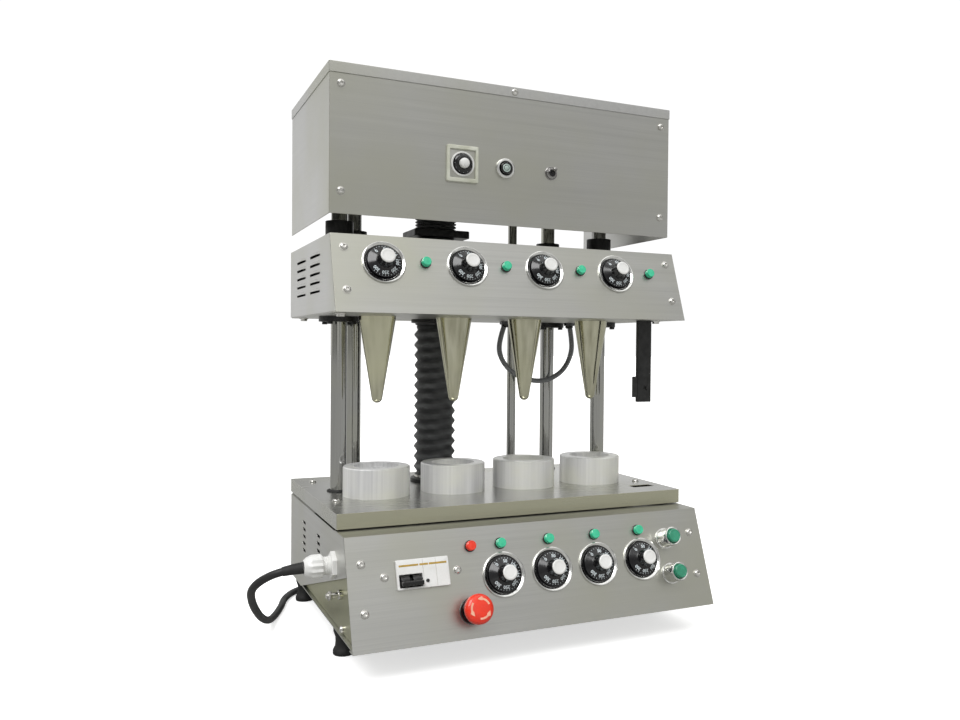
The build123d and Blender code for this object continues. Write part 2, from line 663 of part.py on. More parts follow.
with BuildPart() as estop_button:
    with BuildSketch(PANEL_FACE.offset(3)):
        with Locations(ESTOP):
            Circle(10)
    extrude(amount=16)
    with BuildSketch(PANEL_FACE.offset(19)):
        with Locations(ESTOP):
            Circle(20)
    extrude(amount=14)
    fillet(estop_button.edges().sort_by(Axis.Y)[0], radius=5)
save(estop_button, "estop_button")

BREAKER_OUT, TOGGLE_R = 5.0, 9.0
TOGGLE_AT = (BREAKER[0] - 17.5, BREAKER[1] - 8.5)
with BuildPart() as breaker:
    with BuildSketch(PANEL_FACE):
        with Locations(BREAKER):
            Rectangle(BREAKER_W, BREAKER_H)
    extrude(amount=BREAKER_OUT)
    with BuildSketch(PANEL_FACE):
        with Locations(BREAKER):
            Rectangle(BREAKER_W - 4, BREAKER_H - 2.6)
    extrude(amount=-40)
    with BuildSketch(PANEL_FACE.offset(-8)):
        with Locations(TOGGLE_AT):
            Rectangle(32, 17)
    extrude(amount=20, mode=Mode.SUBTRACT)
save(breaker, "breaker")

with BuildPart() as breaker_toggle:
    with BuildSketch(Plane(origin=PANEL_FACE.from_local_coords((TOGGLE_AT[0] - 15, TOGGLE_AT[1], 1)),
                           x_dir=(0, PANEL_FACE.z_dir.Z, -PANEL_FACE.z_dir.Y), z_dir=(1, 0, 0))):
        Circle(TOGGLE_R - 1.2)
        with Locations((-3, 8)):
            Rectangle(5, 14)
    extrude(amount=30)
save(breaker_toggle, "breaker_toggle")

CAB_FACE = Plane(origin=(0, FRONT, UPPER_Z), x_dir=(1, 0, 0), z_dir=(0, -1, 0))
with BuildPart() as upper_controls:
    with BuildSketch(CAB_FACE):
        with Locations((-84, 0)):
            RectangleRounded(49, 54, 2)
            Circle(6.6 + AIR, mode=Mode.SUBTRACT)
        with Locations((-15, 0)):
            Circle(15)
            Circle(9 + AIR, mode=Mode.SUBTRACT)
        with Locations((63, 0)):
            Circle(9)
            Circle(5.4, mode=Mode.SUBTRACT)
    extrude(amount=4)
    with BuildSketch(CAB_FACE.offset(-36)):
        with Locations((-84, 0), (-15, 0), (63, 0)):
            Rectangle(24, 24)
    extrude(amount=36 - SHEET - 6)
    with BuildSketch(CAB_FACE.offset(-SHEET - 6)):
        with Locations((-84, 0), (-15, 0), (63, 0)):
            Circle(6.9)
            Circle(6.6, mode=Mode.SUBTRACT)
    extrude(amount=SHEET + 6)
save(upper_controls, "upper_control_mounts")

with BuildPart() as timer_knob:
    with BuildSketch(CAB_FACE.offset(-3)):
        with Locations((-84, 0)):
            Circle(6)
    extrude(amount=9)
    with BuildSketch(CAB_FACE.offset(4 + AIR)):
        with Locations((-84, 0)):
            Circle(16)
    extrude(amount=11, taper=15)
save(timer_knob, "timer_knob")

with BuildPart() as power_button:
    with BuildSketch(CAB_FACE.offset(3.5)):
        with Locations((-15, 0)):
            Circle(9)
    extrude(amount=4)
    fillet(power_button.edges().sort_by(Axis.Y)[0], radius=1)
save(power_button, "power_button")

with BuildPart() as toggle_lever:
    with BuildSketch(Plane(origin=(63 - 2.5, FRONT + 1, UPPER_Z), z_dir=(1, 0, 0))):
        Circle(3)
    extrude(amount=5)
    with BuildSketch(Plane(origin=(63, FRONT + 1, UPPER_Z), z_dir=(0, -1, 0.25))):
        Circle(2.2)
    extrude(amount=18, taper=-3)
save(toggle_lever, "toggle_lever")

# ================================================================ MAINS CORD
GLAND_FACE = Plane(origin=(-BASE_W / 2, *GLAND), z_dir=(-1, 0, 0))
with BuildPart() as gland:
    with BuildSketch(GLAND_FACE):
        RegularPolygon(16.5, 6)
    extrude(amount=6)
    with BuildSketch(GLAND_FACE.offset(6)):
        Circle(12)
    extrude(amount=14)
    with BuildSketch(GLAND_FACE.offset(20)):
        RegularPolygon(15.5, 6)
    extrude(amount=14)
    with BuildSketch(GLAND_FACE.offset(34)):
        Circle(12.5)
    extrude(amount=8, taper=25)
save(gland, "cord_gland")

LIE = CORD_R + 0.3
COIL_MID, COIL_W, COIL_AT = 62.0, 24.0, (-96, BASE_REAR + 96)
COIL_ENTRY = 68.0                         # from the coil's centre to the cord where it comes in
CORD_ROUTE = [
    (-BASE_W / 2 - 42, GLAND[0], GLAND[1]),
    (-BASE_W / 2 - 68, GLAND[0] + 3, GLAND[1] - 2),
    (-BASE_W / 2 - 92, GLAND[0] + 17, GLAND[1] - 14),
    (-BASE_W / 2 - 104, GLAND[0] + 39, GLAND[1] - 32),
    (-BASE_W / 2 - 100, GLAND[0] + 66, GLAND[1] - 54),
    (-BASE_W / 2 - 90, GLAND[0] + 97, GLAND[1] - 78),
    (-BASE_W / 2 - 76, GLAND[0] + 134, GLAND[1] - 102),
    (-BASE_W / 2 - 60, GLAND[0] + 177, GLAND[1] - 120),
    (-BASE_W / 2 - 44, GLAND[0] + 224, LIE),
    (-BASE_W / 2 - 26, GLAND[0] + 272, LIE),
    (-BASE_W / 2 - 14, GLAND[0] + 318, LIE),
    (-BASE_W / 2 + 10, BASE_REAR + 24, LIE),
    (-BASE_W / 2 + 51, BASE_REAR + 48, LIE),
    (COIL_AT[0] - 84, BASE_REAR + 48, LIE),
    (COIL_AT[0] - 44, BASE_REAR + 37, LIE),
    (COIL_AT[0], COIL_AT[1] - COIL_ENTRY, LIE),
]
tube_along("mains_cord", CORD_ROUTE[:-1], CORD_R)

with BuildPart() as cord_coil:
    with BuildSketch():
        with Locations(COIL_AT):
            Circle(COIL_MID + COIL_W / 2)
            Circle(COIL_MID - COIL_W / 2, mode=Mode.SUBTRACT)
    extrude(amount=COIL_W)
save(cord_coil, "cord_coil")

PLUG_L, PLUG_W, PLUG_H = 44.0, 24.0, 22.0
PLUG_AT = (COIL_AT[0] + 118, COIL_AT[1] - COIL_ENTRY)
with BuildPart() as plug:
    with BuildSketch(Plane.XY.offset(1)):
        with Locations(PLUG_AT):
            RectangleRounded(PLUG_L, PLUG_W, 5)
    extrude(amount=PLUG_H)
    fillet(plug.edges().group_by(Axis.Z)[-1], radius=3)
    pin_face = Plane(origin=(PLUG_AT[0] + PLUG_L / 2 - 1, PLUG_AT[1], 0), x_dir=(0, 1, 0), z_dir=(1, 0, 0))
    with BuildSketch(pin_face):
        with Locations((-5, 8), (5, 8), (0, 17)):
            Rectangle(2, 5)
    extrude(amount=18)
save(plug, "mains_plug")
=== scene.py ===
"""Looks of the four-head cone moulding press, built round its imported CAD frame.

Local frames of the pieces are in millimetres, and spot() scales them; everything else is in metres.
"""
import json
import math

import bmesh
import bpy
from mathutils import Matrix, Vector

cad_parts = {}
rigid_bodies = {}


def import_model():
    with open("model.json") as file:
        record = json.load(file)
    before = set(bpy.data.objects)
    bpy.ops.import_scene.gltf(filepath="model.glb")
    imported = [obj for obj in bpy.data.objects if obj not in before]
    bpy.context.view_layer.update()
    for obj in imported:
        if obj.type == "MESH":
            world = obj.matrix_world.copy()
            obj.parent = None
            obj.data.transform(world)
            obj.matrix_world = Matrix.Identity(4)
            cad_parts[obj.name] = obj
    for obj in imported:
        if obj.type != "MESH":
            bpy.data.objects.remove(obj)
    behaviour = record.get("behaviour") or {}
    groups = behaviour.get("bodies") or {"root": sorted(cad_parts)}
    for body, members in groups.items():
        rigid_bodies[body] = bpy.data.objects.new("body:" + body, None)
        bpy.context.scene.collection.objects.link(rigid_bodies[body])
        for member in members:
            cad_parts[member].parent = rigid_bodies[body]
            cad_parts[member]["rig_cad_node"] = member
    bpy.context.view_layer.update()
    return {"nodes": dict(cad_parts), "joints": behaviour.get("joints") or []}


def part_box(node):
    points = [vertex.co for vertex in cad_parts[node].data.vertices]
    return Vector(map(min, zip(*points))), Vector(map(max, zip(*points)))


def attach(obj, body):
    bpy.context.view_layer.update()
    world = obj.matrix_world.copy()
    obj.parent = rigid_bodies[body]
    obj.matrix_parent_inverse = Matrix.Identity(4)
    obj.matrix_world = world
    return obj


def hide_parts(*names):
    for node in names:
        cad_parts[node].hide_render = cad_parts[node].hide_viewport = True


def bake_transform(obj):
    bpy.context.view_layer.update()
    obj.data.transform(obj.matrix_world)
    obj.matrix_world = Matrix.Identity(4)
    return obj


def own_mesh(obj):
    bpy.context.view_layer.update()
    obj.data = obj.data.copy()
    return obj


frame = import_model()
scene = bpy.context.scene

MM = 0.001
COUNT = 48                      # points of every outline, so that any two can be joined
JOINTS = {joint["name"]: joint for joint in frame["joints"]}


# ================================================================ PLACES, READ FROM THE FRAME
def low(node):
    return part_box(node)[0]


def high(node):
    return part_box(node)[1]


def middle(node):
    """Centre of a node's box, as X and Y in mm."""
    a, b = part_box(node)
    return (a.x + b.x) / 2 / MM, (a.y + b.y) / 2 / MM


DECK = high("deck").z / MM
FRONT = low("upper_front_panel").y / MM
FOOT_X, FOOT_FRONT, FOOT_REAR = 257.0, FRONT - 4, FRONT + 283
HEAD_LOW, HEAD_HIGH = low("head_front_panel").z / MM, high("head_cover").z / MM
HEAD_REAR = high("head_cover").y / MM
BASE_LOW, BASE_REAR = low("control_panel").z / MM, high("base_shell").y / MM
CAB_LOW, CAB_HIGH = low("upper_shell").z / MM, high("upper_shell").z / MM
CAB_REAR = high("upper_shell").y / MM
FLOOR_Z = low("upper_floor").z / MM
NUT_TOP = high("screw_nut").z / MM
SCREW = middle("lead_screw")
FOLD_PITCH, FOLD_R, FOLD_DEPTH = 17.2, 35.5, 6.5        # of the bellows
COLUMNS = [(-232, FRONT + 147), (232, FRONT + 147), (-183, FRONT + 254), (183, FRONT + 254)]


def turned_by(angle, axis="Z"):
    return Matrix.Rotation(math.radians(angle), 4, axis)


class Face:
    """A flat face of the machine: x along it, s up it, and a height out of it, all in mm."""

    def __init__(self, origin, out, right=(1, 0, 0)):
        self.origin = MM * Vector(origin)
        self.out, self.right = Vector(out).normalized(), Vector(right)
        self.up = self.out.cross(self.right)

    def spot(self, x, s, out=0.0, turn=0.0):
        """Matrix of a local frame in mm whose z points out of the face, turned about it in degrees."""
        place = self.origin + MM * (x * self.right + s * self.up + out * self.out)
        basis = Matrix((self.right, self.up, self.out)).transposed().to_4x4()
        return Matrix.Translation(place) @ basis @ turned_by(turn) @ Matrix.Scale(MM, 4)

    def under(self, point):
        """x and s of a point in metres."""
        away = (Vector(point) - self.origin) / MM
        return away.dot(self.right), away.dot(self.up)


def sloped(node, joint):
    """Face of a front panel, from its lowest front edge and a control that turns on it."""
    return Face((0, low(node).y / MM, low(node).z / MM), -Vector(JOINTS[joint]["axis"]))


HEAD = sloped("head_front_panel", "head_knob_1_turn")
PANEL = sloped("control_panel", "mould_knob_1_turn")
CABINET = Face((0, FRONT, 0), (0, -1, 0))
DECK_TOP = Face((0, 0, DECK), (0, 0, 1))
UNDER_HEAD = Face((0, 0, HEAD_LOW), (0, 0, -1))
LEVEL = Face((0, 0, 0), (0, 0, 1))
LEFT = Face((low("head_cover").x / MM, 0, 0), (-1, 0, 0), (0, -1, 0))
RIGHT = Face((high("head_cover").x / MM, 0, 0), (1, 0, 0), (0, 1, 0))

HEAD_DIALS = [HEAD.under(JOINTS[f"head_knob_{i}_turn"]["pos_m"]) for i in range(1, 5)]
PANEL_DIALS = [PANEL.under(JOINTS[f"mould_knob_{i}_turn"]["pos_m"]) for i in range(1, 5)]
HEAD_LAMPS = [(x + 61, s + 2) for x, s in HEAD_DIALS]
PANEL_LAMPS = [(x, s + 43) for x, s in PANEL_DIALS]
RED_LAMP = (PANEL_DIALS[0][0] - 45, PANEL_DIALS[0][1] + 43)
START_BUTTONS = {"upper": (211, 105.5), "lower": (211, 53)}
ESTOP = (-112, 36)
BREAKER = (-176.5, 92.5)
TIMER_X, POWER_X, TOGGLE_X, CONTROL_Z = -84, -15, 63, DECK + 498


# ================================================================ SHAPES
def circle(radius):
    turn = 2 * math.pi / COUNT
    return [(radius * math.cos(k * turn), radius * math.sin(k * turn)) for k in range(COUNT)]


def polygon(apothem, sides=6):
    """Regular polygon, sampled at the circle's angles."""
    side = 2 * math.pi / sides
    points = []
    for k in range(COUNT):
        a = 2 * math.pi * k / COUNT
        r = apothem / math.cos((a + side / 2) % side - side / 2)
        points.append((r * math.cos(a), r * math.sin(a)))
    return points


def fluted(radius, depth, flutes):
    """Circle with shallow flutes round it."""
    points = []
    for k in range(COUNT):
        a = 2 * math.pi * k / COUNT
        r = radius - depth * (0.5 + 0.5 * math.cos(flutes * a))
        points.append((r * math.cos(a), r * math.sin(a)))
    return points


def rounded_box(width, height, corner, x=0.0, y=0.0):
    points = []
    for sx, sy, start in ((1, 1, 0), (-1, 1, 90), (-1, -1, 180), (1, -1, 270)):
        for k in range(COUNT // 4):
            a = math.radians(start + 90 * k / (COUNT // 4 - 1))
            points.append((x + sx * (width / 2 - corner) + corner * math.cos(a),
                           y + sy * (height / 2 - corner) + corner * math.sin(a)))
    return points


def disc(radius):
    return lambda inset: circle(radius - inset)


def prism(apothem, sides=6):
    return lambda inset: polygon(apothem - inset, sides)


def slab(width, height, corner):
    return lambda inset: rounded_box(width - 2 * inset, height - 2 * inset, max(corner - inset, 0.1))


ARC = [math.radians(a) for a in (0, 30, 60, 90)]


def block(outline, bottom, top, edge=0.6, both=False):
    """Layers of a straight-sided block with a rounded top edge, and bottom edge too if both."""
    layers = [(outline(0), bottom)]
    if both:
        layers = [(outline(edge * (1 - math.sin(a))), bottom + edge * (1 - math.cos(a))) for a in ARC]
    return layers + [(outline(edge * (1 - math.cos(a))), top - edge * (1 - math.sin(a))) for a in ARC]


def turned(*profile):
    """Layers of a turned shape from its radius and height pairs."""
    return [(circle(max(r, 0.001)), h) for r, h in profile]


def spun(spot, *profile, ring=False):
    return solid(turned(*profile), spot, ring)


def solid(layers, spot, ring=False):
    """Skin over a stack of outlines, capped at both ends, or closed on itself if ring."""
    verts = [spot @ Vector((x, y, h)) for outline, h in layers for x, y in outline]
    return verts, skin_faces(len(layers), COUNT, ring)


def skin_faces(rows, count, ring=False):
    faces = []
    for row in range(rows if ring else rows - 1):
        a, b = row * count, (row + 1) % rows * count
        faces += [(a + k, a + (k + 1) % count, b + (k + 1) % count, b + k) for k in range(count)]
    if not ring:
        last = (rows - 1) * count
        faces += [tuple(range(count))[::-1], tuple(last + k for k in range(count))]
    return faces


def group(*shapes):
    verts, faces = [], []
    for more_verts, more_faces in shapes:
        start = len(verts)
        verts += more_verts
        faces += [tuple(start + i for i in face) for face in more_faces]
    return verts, faces


def placed(shape, at):
    return [at @ vert for vert in shape[0]], shape[1]


def at_each(layers, face, places, ring=False):
    """The same stack of outlines at each place on a face."""
    return group(*[solid(layers, face.spot(x, s), ring) for x, s in places])


def tube(line, radius_at, sides=20):
    """Round tube along a line of points in metres; radius_at gives its radius from the share of the way."""
    verts = []
    side = None
    for i, point in enumerate(line):
        along = (line[min(i + 1, len(line) - 1)] - line[max(i - 1, 0)]).normalized()
        side = side or along.orthogonal()
        side = (side - along * side.dot(along)).normalized()
        other = along.cross(side)
        r = radius_at(i / (len(line) - 1))
        for k in range(sides):
            a = 2 * math.pi * k / sides
            verts.append(point + r * (math.cos(a) * side + math.sin(a) * other))
    return verts, skin_faces(len(line), sides)


def linked(name, data):
    made = bpy.data.objects.new(name, data)
    scene.collection.objects.link(made)
    return made


def meshed(curve):
    """Points and faces of a curve's mesh."""
    holder = bpy.data.objects.new(curve.name, curve)
    mesh = bpy.data.meshes.new_from_object(holder)
    made = [vert.co.copy() for vert in mesh.vertices], [tuple(face.vertices) for face in mesh.polygons]
    bpy.data.objects.remove(holder)
    bpy.data.meshes.remove(mesh)
    return made


def piece(name, shape, look, body="root", stands_for=(), sharp=35):
    """A mesh piece with its finish, riding on a body, smooth where faces meet below the sharp angle."""
    mesh = bpy.data.meshes.new(name)
    mesh.from_pydata(shape[0], [], shape[1])
    clean = bmesh.new()
    clean.from_mesh(mesh)
    bmesh.ops.remove_doubles(clean, verts=clean.verts, dist=2e-6)
    bmesh.ops.dissolve_degenerate(clean, edges=clean.edges, dist=1e-7)
    bmesh.ops.recalc_face_normals(clean, faces=clean.faces)
    clean.to_mesh(mesh)
    clean.free()
    mesh.polygons.foreach_set("use_smooth", [True] * len(mesh.polygons))
    mesh.set_sharp_from_angle(angle=math.radians(sharp))
    made = linked(name, mesh)
    paint(made, look)
    if body:
        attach(made, body)
    if stands_for:
        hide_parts(*stands_for)
    return made


# ================================================================ MATERIALS
class Nodes:
    """A node tree, with short ways to add to it."""

    def __init__(self, tree, coordinates):
        self.nodes, self.links = tree.nodes, tree.links
        self.coords = self.put("TexCoord").outputs[coordinates]

    def give(self, socket, value):
        """Links another node's output to an input, or sets the input to a plain value."""
        if isinstance(value, bpy.types.NodeSocket):
            self.links.new(value, socket)
        else:
            socket.default_value = value

    def put(self, kind, *values, mode=(), **named):
        """A new node, with values or outputs for its inputs in order or by name, and a setting, its mode."""
        made = self.nodes.new("ShaderNode" + kind)
        if mode:
            setattr(made, *mode)
        for i, value in enumerate(values):
            self.give(made.inputs[i], value)
        for name, value in named.items():
            self.give(made.inputs[name.replace("_", " ")], value)
        return made

    def noise(self, scale, stretch=(1, 1, 1), detail=4.0):
        place = self.put("Mapping", Vector=self.coords, Scale=stretch).outputs["Vector"]
        return self.put("TexNoise", Vector=place, Scale=scale, Detail=detail).outputs["Fac"]

    def span(self, value, low_out, high_out, low_in=0.3, high_in=0.7, step="LINEAR"):
        """The value brought from one range to another."""
        return self.put("MapRange", mode=("interpolation_type", step), Value=value, From_Min=low_in,
                        From_Max=high_in, To_Min=low_out, To_Max=high_out).outputs["Result"]

    def vector(self, operation, *values):
        return self.put("VectorMath", *values, mode=("operation", operation))

    def number(self, operation, *values):
        return self.put("Math", *values, mode=("operation", operation)).outputs["Value"]

    def seen_only(self, seen, lit, output):
        """Makes the output one shader to the eye and another to the light that bounces."""
        choose = self.put("MixShader", self.put("LightPath").outputs["Is Camera Ray"], lit, seen)
        self.links.new(choose.outputs["Shader"], self.nodes[output].inputs["Surface"])


class Tree(Nodes):
    """A material's nodes."""

    def __init__(self, name):
        self.material = bpy.data.materials.new(name)
        self.material.use_nodes = True
        super().__init__(self.material.node_tree, "Object")
        self.shader = self.nodes["Principled BSDF"]

    def set(self, **values):
        for name, value in values.items():
            self.give(self.shader.inputs[name.replace("_", " ")], value)

    def waves(self, scale, direction, distortion):
        return self.put("TexWave", mode=("bands_direction", direction), Vector=self.coords, Scale=scale,
                        Distortion=distortion).outputs["Fac"]

    def from_axis(self, x, y):
        """Distance of a point from an upright axis."""
        away = self.vector("MULTIPLY_ADD", self.coords, (1, 1, 0), (-x * MM, -y * MM, 0))
        return self.vector("LENGTH", away.outputs["Vector"]).outputs["Value"]

    def blend(self, share, first, second):
        """Colour between two, each a colour or another node's output."""
        made = self.put("Mix", mode=("data_type", "RGBA"), Factor=share)
        for socket, colour in ((made.inputs[6], first), (made.inputs[7], second)):
            self.give(socket, (*colour, 1) if isinstance(colour, tuple) else colour)
        return made.outputs[2]

    def add(self, first, second, share=0.5):
        return self.put("Mix", Factor=share, A=first, B=second).outputs["Result"]

    def bump(self, height, strength, distance):
        made = self.put("Bump", Strength=strength, Distance=distance, Height=height)
        self.set(Normal=made.outputs["Normal"])


OLIVE = (0.88, 0.88, 0.80)          # tint of the stains on the metal


def brushed(name, light, dark, rough, grain=(6, 900, 900), mottle=5.0, metallic=1.0, front=None):
    """Brushed or turned metal: fine streak lines, broad ones and slow cloudy stains; stretched upright, the
    streak lines make light and dark bands painted in as reflections.

    A film of oxide makes it less metallic, and its front faces may be given another colour: painted shade on
    the faces that look forward.
    """
    tree = Tree(name)
    # with an upright stretch, these streak lines are painted reflection bands
    fine = tree.noise(1.0, grain, 5.0)
    broad = tree.noise(1.0, tuple(g / 7 for g in grain), 3.0)
    streaks = tree.add(fine, broad)
    stains = tree.noise(mottle, (1, 1, 1), 3.0)
    steel = tree.blend(tree.span(streaks, 0, 1), dark, light)
    stained = tuple(c * k for c, k in zip(light, OLIVE))
    surface = tree.blend(tree.span(stains, 0, 1, 0.42, 0.7), steel, stained)
    # faces that look forward take the front colour: painted shade
    if front:
        normal = tree.put("NewGeometry").outputs["True Normal"]
        forward = tree.put("SeparateXYZ", Vector=normal).outputs["Y"]
        surface = tree.blend(tree.span(forward, 0, 1, -0.6, -0.9), surface, front)
    tree.set(Metallic=metallic, Base_Color=surface, Roughness=tree.span(tree.add(streaks, stains), *rough))
    tree.bump(streaks, 0.25, 0.00012)
    return tree.material


def moulded(name, light, dark, rough, metallic, scale, depth, coat):
    """Plastic, rubber, paint or plain metal with a slight grain, faint dirt and uneven gloss."""
    tree = Tree(name)
    grain = tree.noise(scale * 18, (1, 1, 1), 2.0)
    cloud = tree.noise(scale, (1, 1, 1), 4.0)
    tree.set(Metallic=metallic, Coat_Weight=coat, Coat_Roughness=0.12,
             Base_Color=tree.blend(tree.span(cloud, 0, 1), light, dark),
             Roughness=tree.span(tree.add(grain, cloud), *rough))
    tree.bump(grain, 0.2, depth)
    return tree.material


def cloth(name, light, dark):
    """Coated cloth: a fine weave and dust, with the fold crests painted pale as highlight and the grooves
    painted near-black as shade.
    """
    tree = Tree(name)
    across, up = tree.waves(420, "DIAGONAL", 0.6), tree.waves(430, "Z", 0.6)
    weave = tree.add(across, up)
    dust = tree.noise(26, (1, 1, 2), 5.0)
    worn = tree.blend(tree.span(tree.add(weave, dust, 0.7), 0, 1), dark, light)
    # pale towards the fold crests and near-black in the grooves: painted highlight and painted shade
    crests = tree.span(tree.from_axis(*SCREW), 0, 1, (FOLD_R - FOLD_DEPTH + 2) * MM, (FOLD_R - 0.5) * MM)
    tree.set(Sheen_Weight=0.25, Sheen_Roughness=0.5, Base_Color=tree.blend(crests, dark, worn),
             Roughness=tree.span(dust, 0.48, 0.72))
    tree.bump(weave, 0.5, 0.0003)
    return tree.material


def braid(name, light, dark):
    """Braided sleeve of a cable: strands that cross both ways."""
    tree = Tree(name)
    one, other = tree.waves(240, "DIAGONAL", 1.5), tree.waves(300, "X", 2.0)
    strands = tree.add(one, other)
    tree.set(Metallic=0.35, Base_Color=tree.blend(tree.span(strands, 0, 1), dark, light),
             Roughness=tree.span(strands, 0.35, 0.6))
    tree.bump(strands, 0.6, 0.0006)
    return tree.material


SLOT_OF = {}
FINISHES = {}


def finish(name, slot, make, *look, **more):
    """Keeps the material that a maker gives under this name, with the record's slot that it belongs to."""
    FINISHES[name], SLOT_OF[name] = make(name, *look, **more), slot


def plain(name, slot, light, dark, rough, scale, depth=0.00015, coat=0.0, metallic=0.0):
    finish(name, slot, moulded, light, dark, rough, metallic, scale, depth, coat)


# streak stretches: the last two run upright and give the mould cups and forming cones painted reflection bands
ALONG_Y, ALONG_X, CUP_REFLECTION_BANDS, CONE_REFLECTION_BANDS = (900, 8, 900), (5, 600, 600), (260, 260, 3), (110, 110, 3)
# one stainless in two copies: the front panels painted darker as shade, the shells and lid painted lighter as
# light on the sides and top
finish("panel_steel", "stainless", brushed, (0.57, 0.57, 0.545), (0.47, 0.47, 0.45), (0.30, 0.42))
finish("shell_steel", "stainless_bright", brushed, (0.66, 0.66, 0.65), (0.57, 0.57, 0.56), (0.30, 0.42),
       ALONG_Y)
# deck: its forward faces are painted a darker, olive colour as shade
finish("deck_steel", "stainless_bright", brushed, (0.62, 0.62, 0.60), (0.52, 0.52, 0.50), (0.2, 0.32),
       ALONG_X, front=(0.56, 0.55, 0.42))
# gland plate in the side recess: painted darker and olive as shade in the recess
finish("recess_steel", "stainless", brushed, (0.52, 0.52, 0.36), (0.40, 0.40, 0.28), (0.3, 0.5))
# mould cups: upright light and dark bands painted in as reflections
finish("turned", "aluminium", brushed, (0.98, 0.98, 0.98), (0.66, 0.66, 0.67), (0.28, 0.42),
       CUP_REFLECTION_BANDS, 12, 0.45)
# forming cones: cream and near-black upright bands painted in as highlights and reflections
finish("polished", "polished", brushed, (0.78, 0.765, 0.61), (0.27, 0.26, 0.17), (0.10, 0.2), CONE_REFLECTION_BANDS, 9)
finish("chrome", "chrome", brushed, (0.53, 0.53, 0.52), (0.36, 0.36, 0.35), (0.06, 0.14), (700, 700, 5), 10)
# bellows: the near-black is painted shade in the grooves, the paler colour painted highlight on the crests
finish("bellows", "bellows_cloth", cloth, (0.26, 0.27, 0.275), (0.016, 0.017, 0.018))
finish("grey_cable", "grey_cable", braid, (0.36, 0.37, 0.38), (0.14, 0.145, 0.15))
plain("fastener", "chrome", (0.78, 0.77, 0.74), (0.6, 0.59, 0.56), (0.14, 0.3), 200, 0.00005, metallic=1)
plain("dark_chrome", "chrome", (0.42, 0.41, 0.40), (0.25, 0.245, 0.24), (0.12, 0.25), 150, 0.00005,
      metallic=1)
plain("bezel", "chrome", (0.86, 0.86, 0.84), (0.74, 0.74, 0.72), (0.12, 0.24), 120, 0.00005, metallic=1)
plain("band", "stainless", (0.5, 0.48, 0.42), (0.3, 0.27, 0.22), (0.3, 0.5), 60, metallic=1)
plain("black_steel", "black_steel", (0.035, 0.035, 0.035), (0.012, 0.012, 0.012), (0.28, 0.5), 80,
      metallic=0.3)
plain("black_plastic", "black_plastic", (0.008, 0.008, 0.009), (0.004, 0.004, 0.005), (0.10, 0.22), 90,
      0.00006, 0.3)
plain("rubber", "black_rubber", (0.02, 0.02, 0.02), (0.009, 0.009, 0.009), (0.55, 0.75), 70, 0.0003)
plain("white", "white_plastic", (0.88, 0.88, 0.87), (0.78, 0.78, 0.76), (0.22, 0.36), 60, 0.00008, 0.3)
plain("cream", "white_plastic", (0.70, 0.71, 0.62), (0.55, 0.56, 0.45), (0.25, 0.4), 60, 0.00008, 0.2)
plain("figures", "white_plastic", (0.86, 0.92, 0.94), (0.66, 0.74, 0.78), (0.4, 0.6), 300, 0.00003)
plain("teal_white", "white_plastic", (0.52, 0.62, 0.58), (0.42, 0.52, 0.48), (0.2, 0.3), 200, 0.00005, 0.5)
plain("orange", "white_plastic", (0.55, 0.33, 0.06), (0.38, 0.27, 0.05), (0.4, 0.6), 160, 0.00004)
plain("green", "green_plastic", (0.045, 0.66, 0.37), (0.03, 0.50, 0.27), (0.15, 0.28), 120, 0.00006, 0.7)
plain("green_cap", "green_plastic", (0.03, 0.33, 0.19), (0.015, 0.22, 0.12), (0.2, 0.34), 120, 0.00006, 0.5)
plain("red", "red_plastic", (0.95, 0.045, 0.012), (0.80, 0.03, 0.01), (0.2, 0.32), 90, 0.00006, 0.35)
plain("arrow", "red_plastic", (0.95, 0.52, 0.36), (0.85, 0.4, 0.28), (0.3, 0.45), 200, 0.00004)
plain("cord", "black_cord", (0.018, 0.018, 0.019), (0.009, 0.009, 0.01), (0.42, 0.6), 50, 0.0002)
plain("enamel", "motor_paint", (0.06, 0.09, 0.12), (0.04, 0.06, 0.085), (0.3, 0.45), 40, 0.0002, 0.3)


def paint(obj, name):
    """Gives an object its finish's material."""
    obj.data.materials.clear()
    obj.data.materials.append(FINISHES[name])


# ================================================================ CAD NODES THAT SHOW
CAD_FINISH = {
    "panel_steel": ["upper_front_panel", "head_front_panel", "control_panel", "head_plate", "column_plate",
                    "upper_floor", "base_floor"],
    "shell_steel": ["upper_shell", "head_cover", "base_shell", "lid"],
    "deck_steel": ["deck"],
    "recess_steel": ["gland_plate"],
    "turned": [f"mould_cup_{i}" for i in range(1, 5)],
    "polished": [f"forming_cone_{i}" for i in range(1, 5)],
    "chrome": ["guide_columns", "conduit_tube", "lead_screw"],
    "black_steel": ["guide_bearings", "screw_nut", "trip_bar", "screw_bearings", "screw_pulley",
                    "motor_pulley"],
    "rubber": ["drive_belt"],
    "enamel": ["drive_motor"],
    "band": ["mould_heater_bands"],
}
SOFT_EDGES = {"upper_shell": 0.5, "upper_front_panel": 0.5, "lid": 0.6, "head_cover": 0.5,
              "head_front_panel": 0.5, "base_shell": 0.5, "control_panel": 0.5, "deck": 0.7, "trip_bar": 0.8,
              "gland_plate": 0.4, "screw_nut": 0.8, "head_plate": 0.5}


def soften(obj, width):
    """Small rounded edges on a CAD node, through modifiers only."""
    weld = obj.modifiers.new("weld", "WELD")
    weld.merge_threshold = 1e-5
    flat = obj.modifiers.new("flat", "DECIMATE")
    flat.decimate_type = "DISSOLVE"
    flat.angle_limit = math.radians(0.5)
    edge = obj.modifiers.new("edge", "BEVEL")
    edge.width = width * MM
    edge.segments = 2
    edge.limit_method = "ANGLE"
    edge.angle_limit = math.radians(40)
    edge.use_clamp_overlap = True
    even = obj.modifiers.new("even", "WEIGHTED_NORMAL")
    even.keep_sharp = False


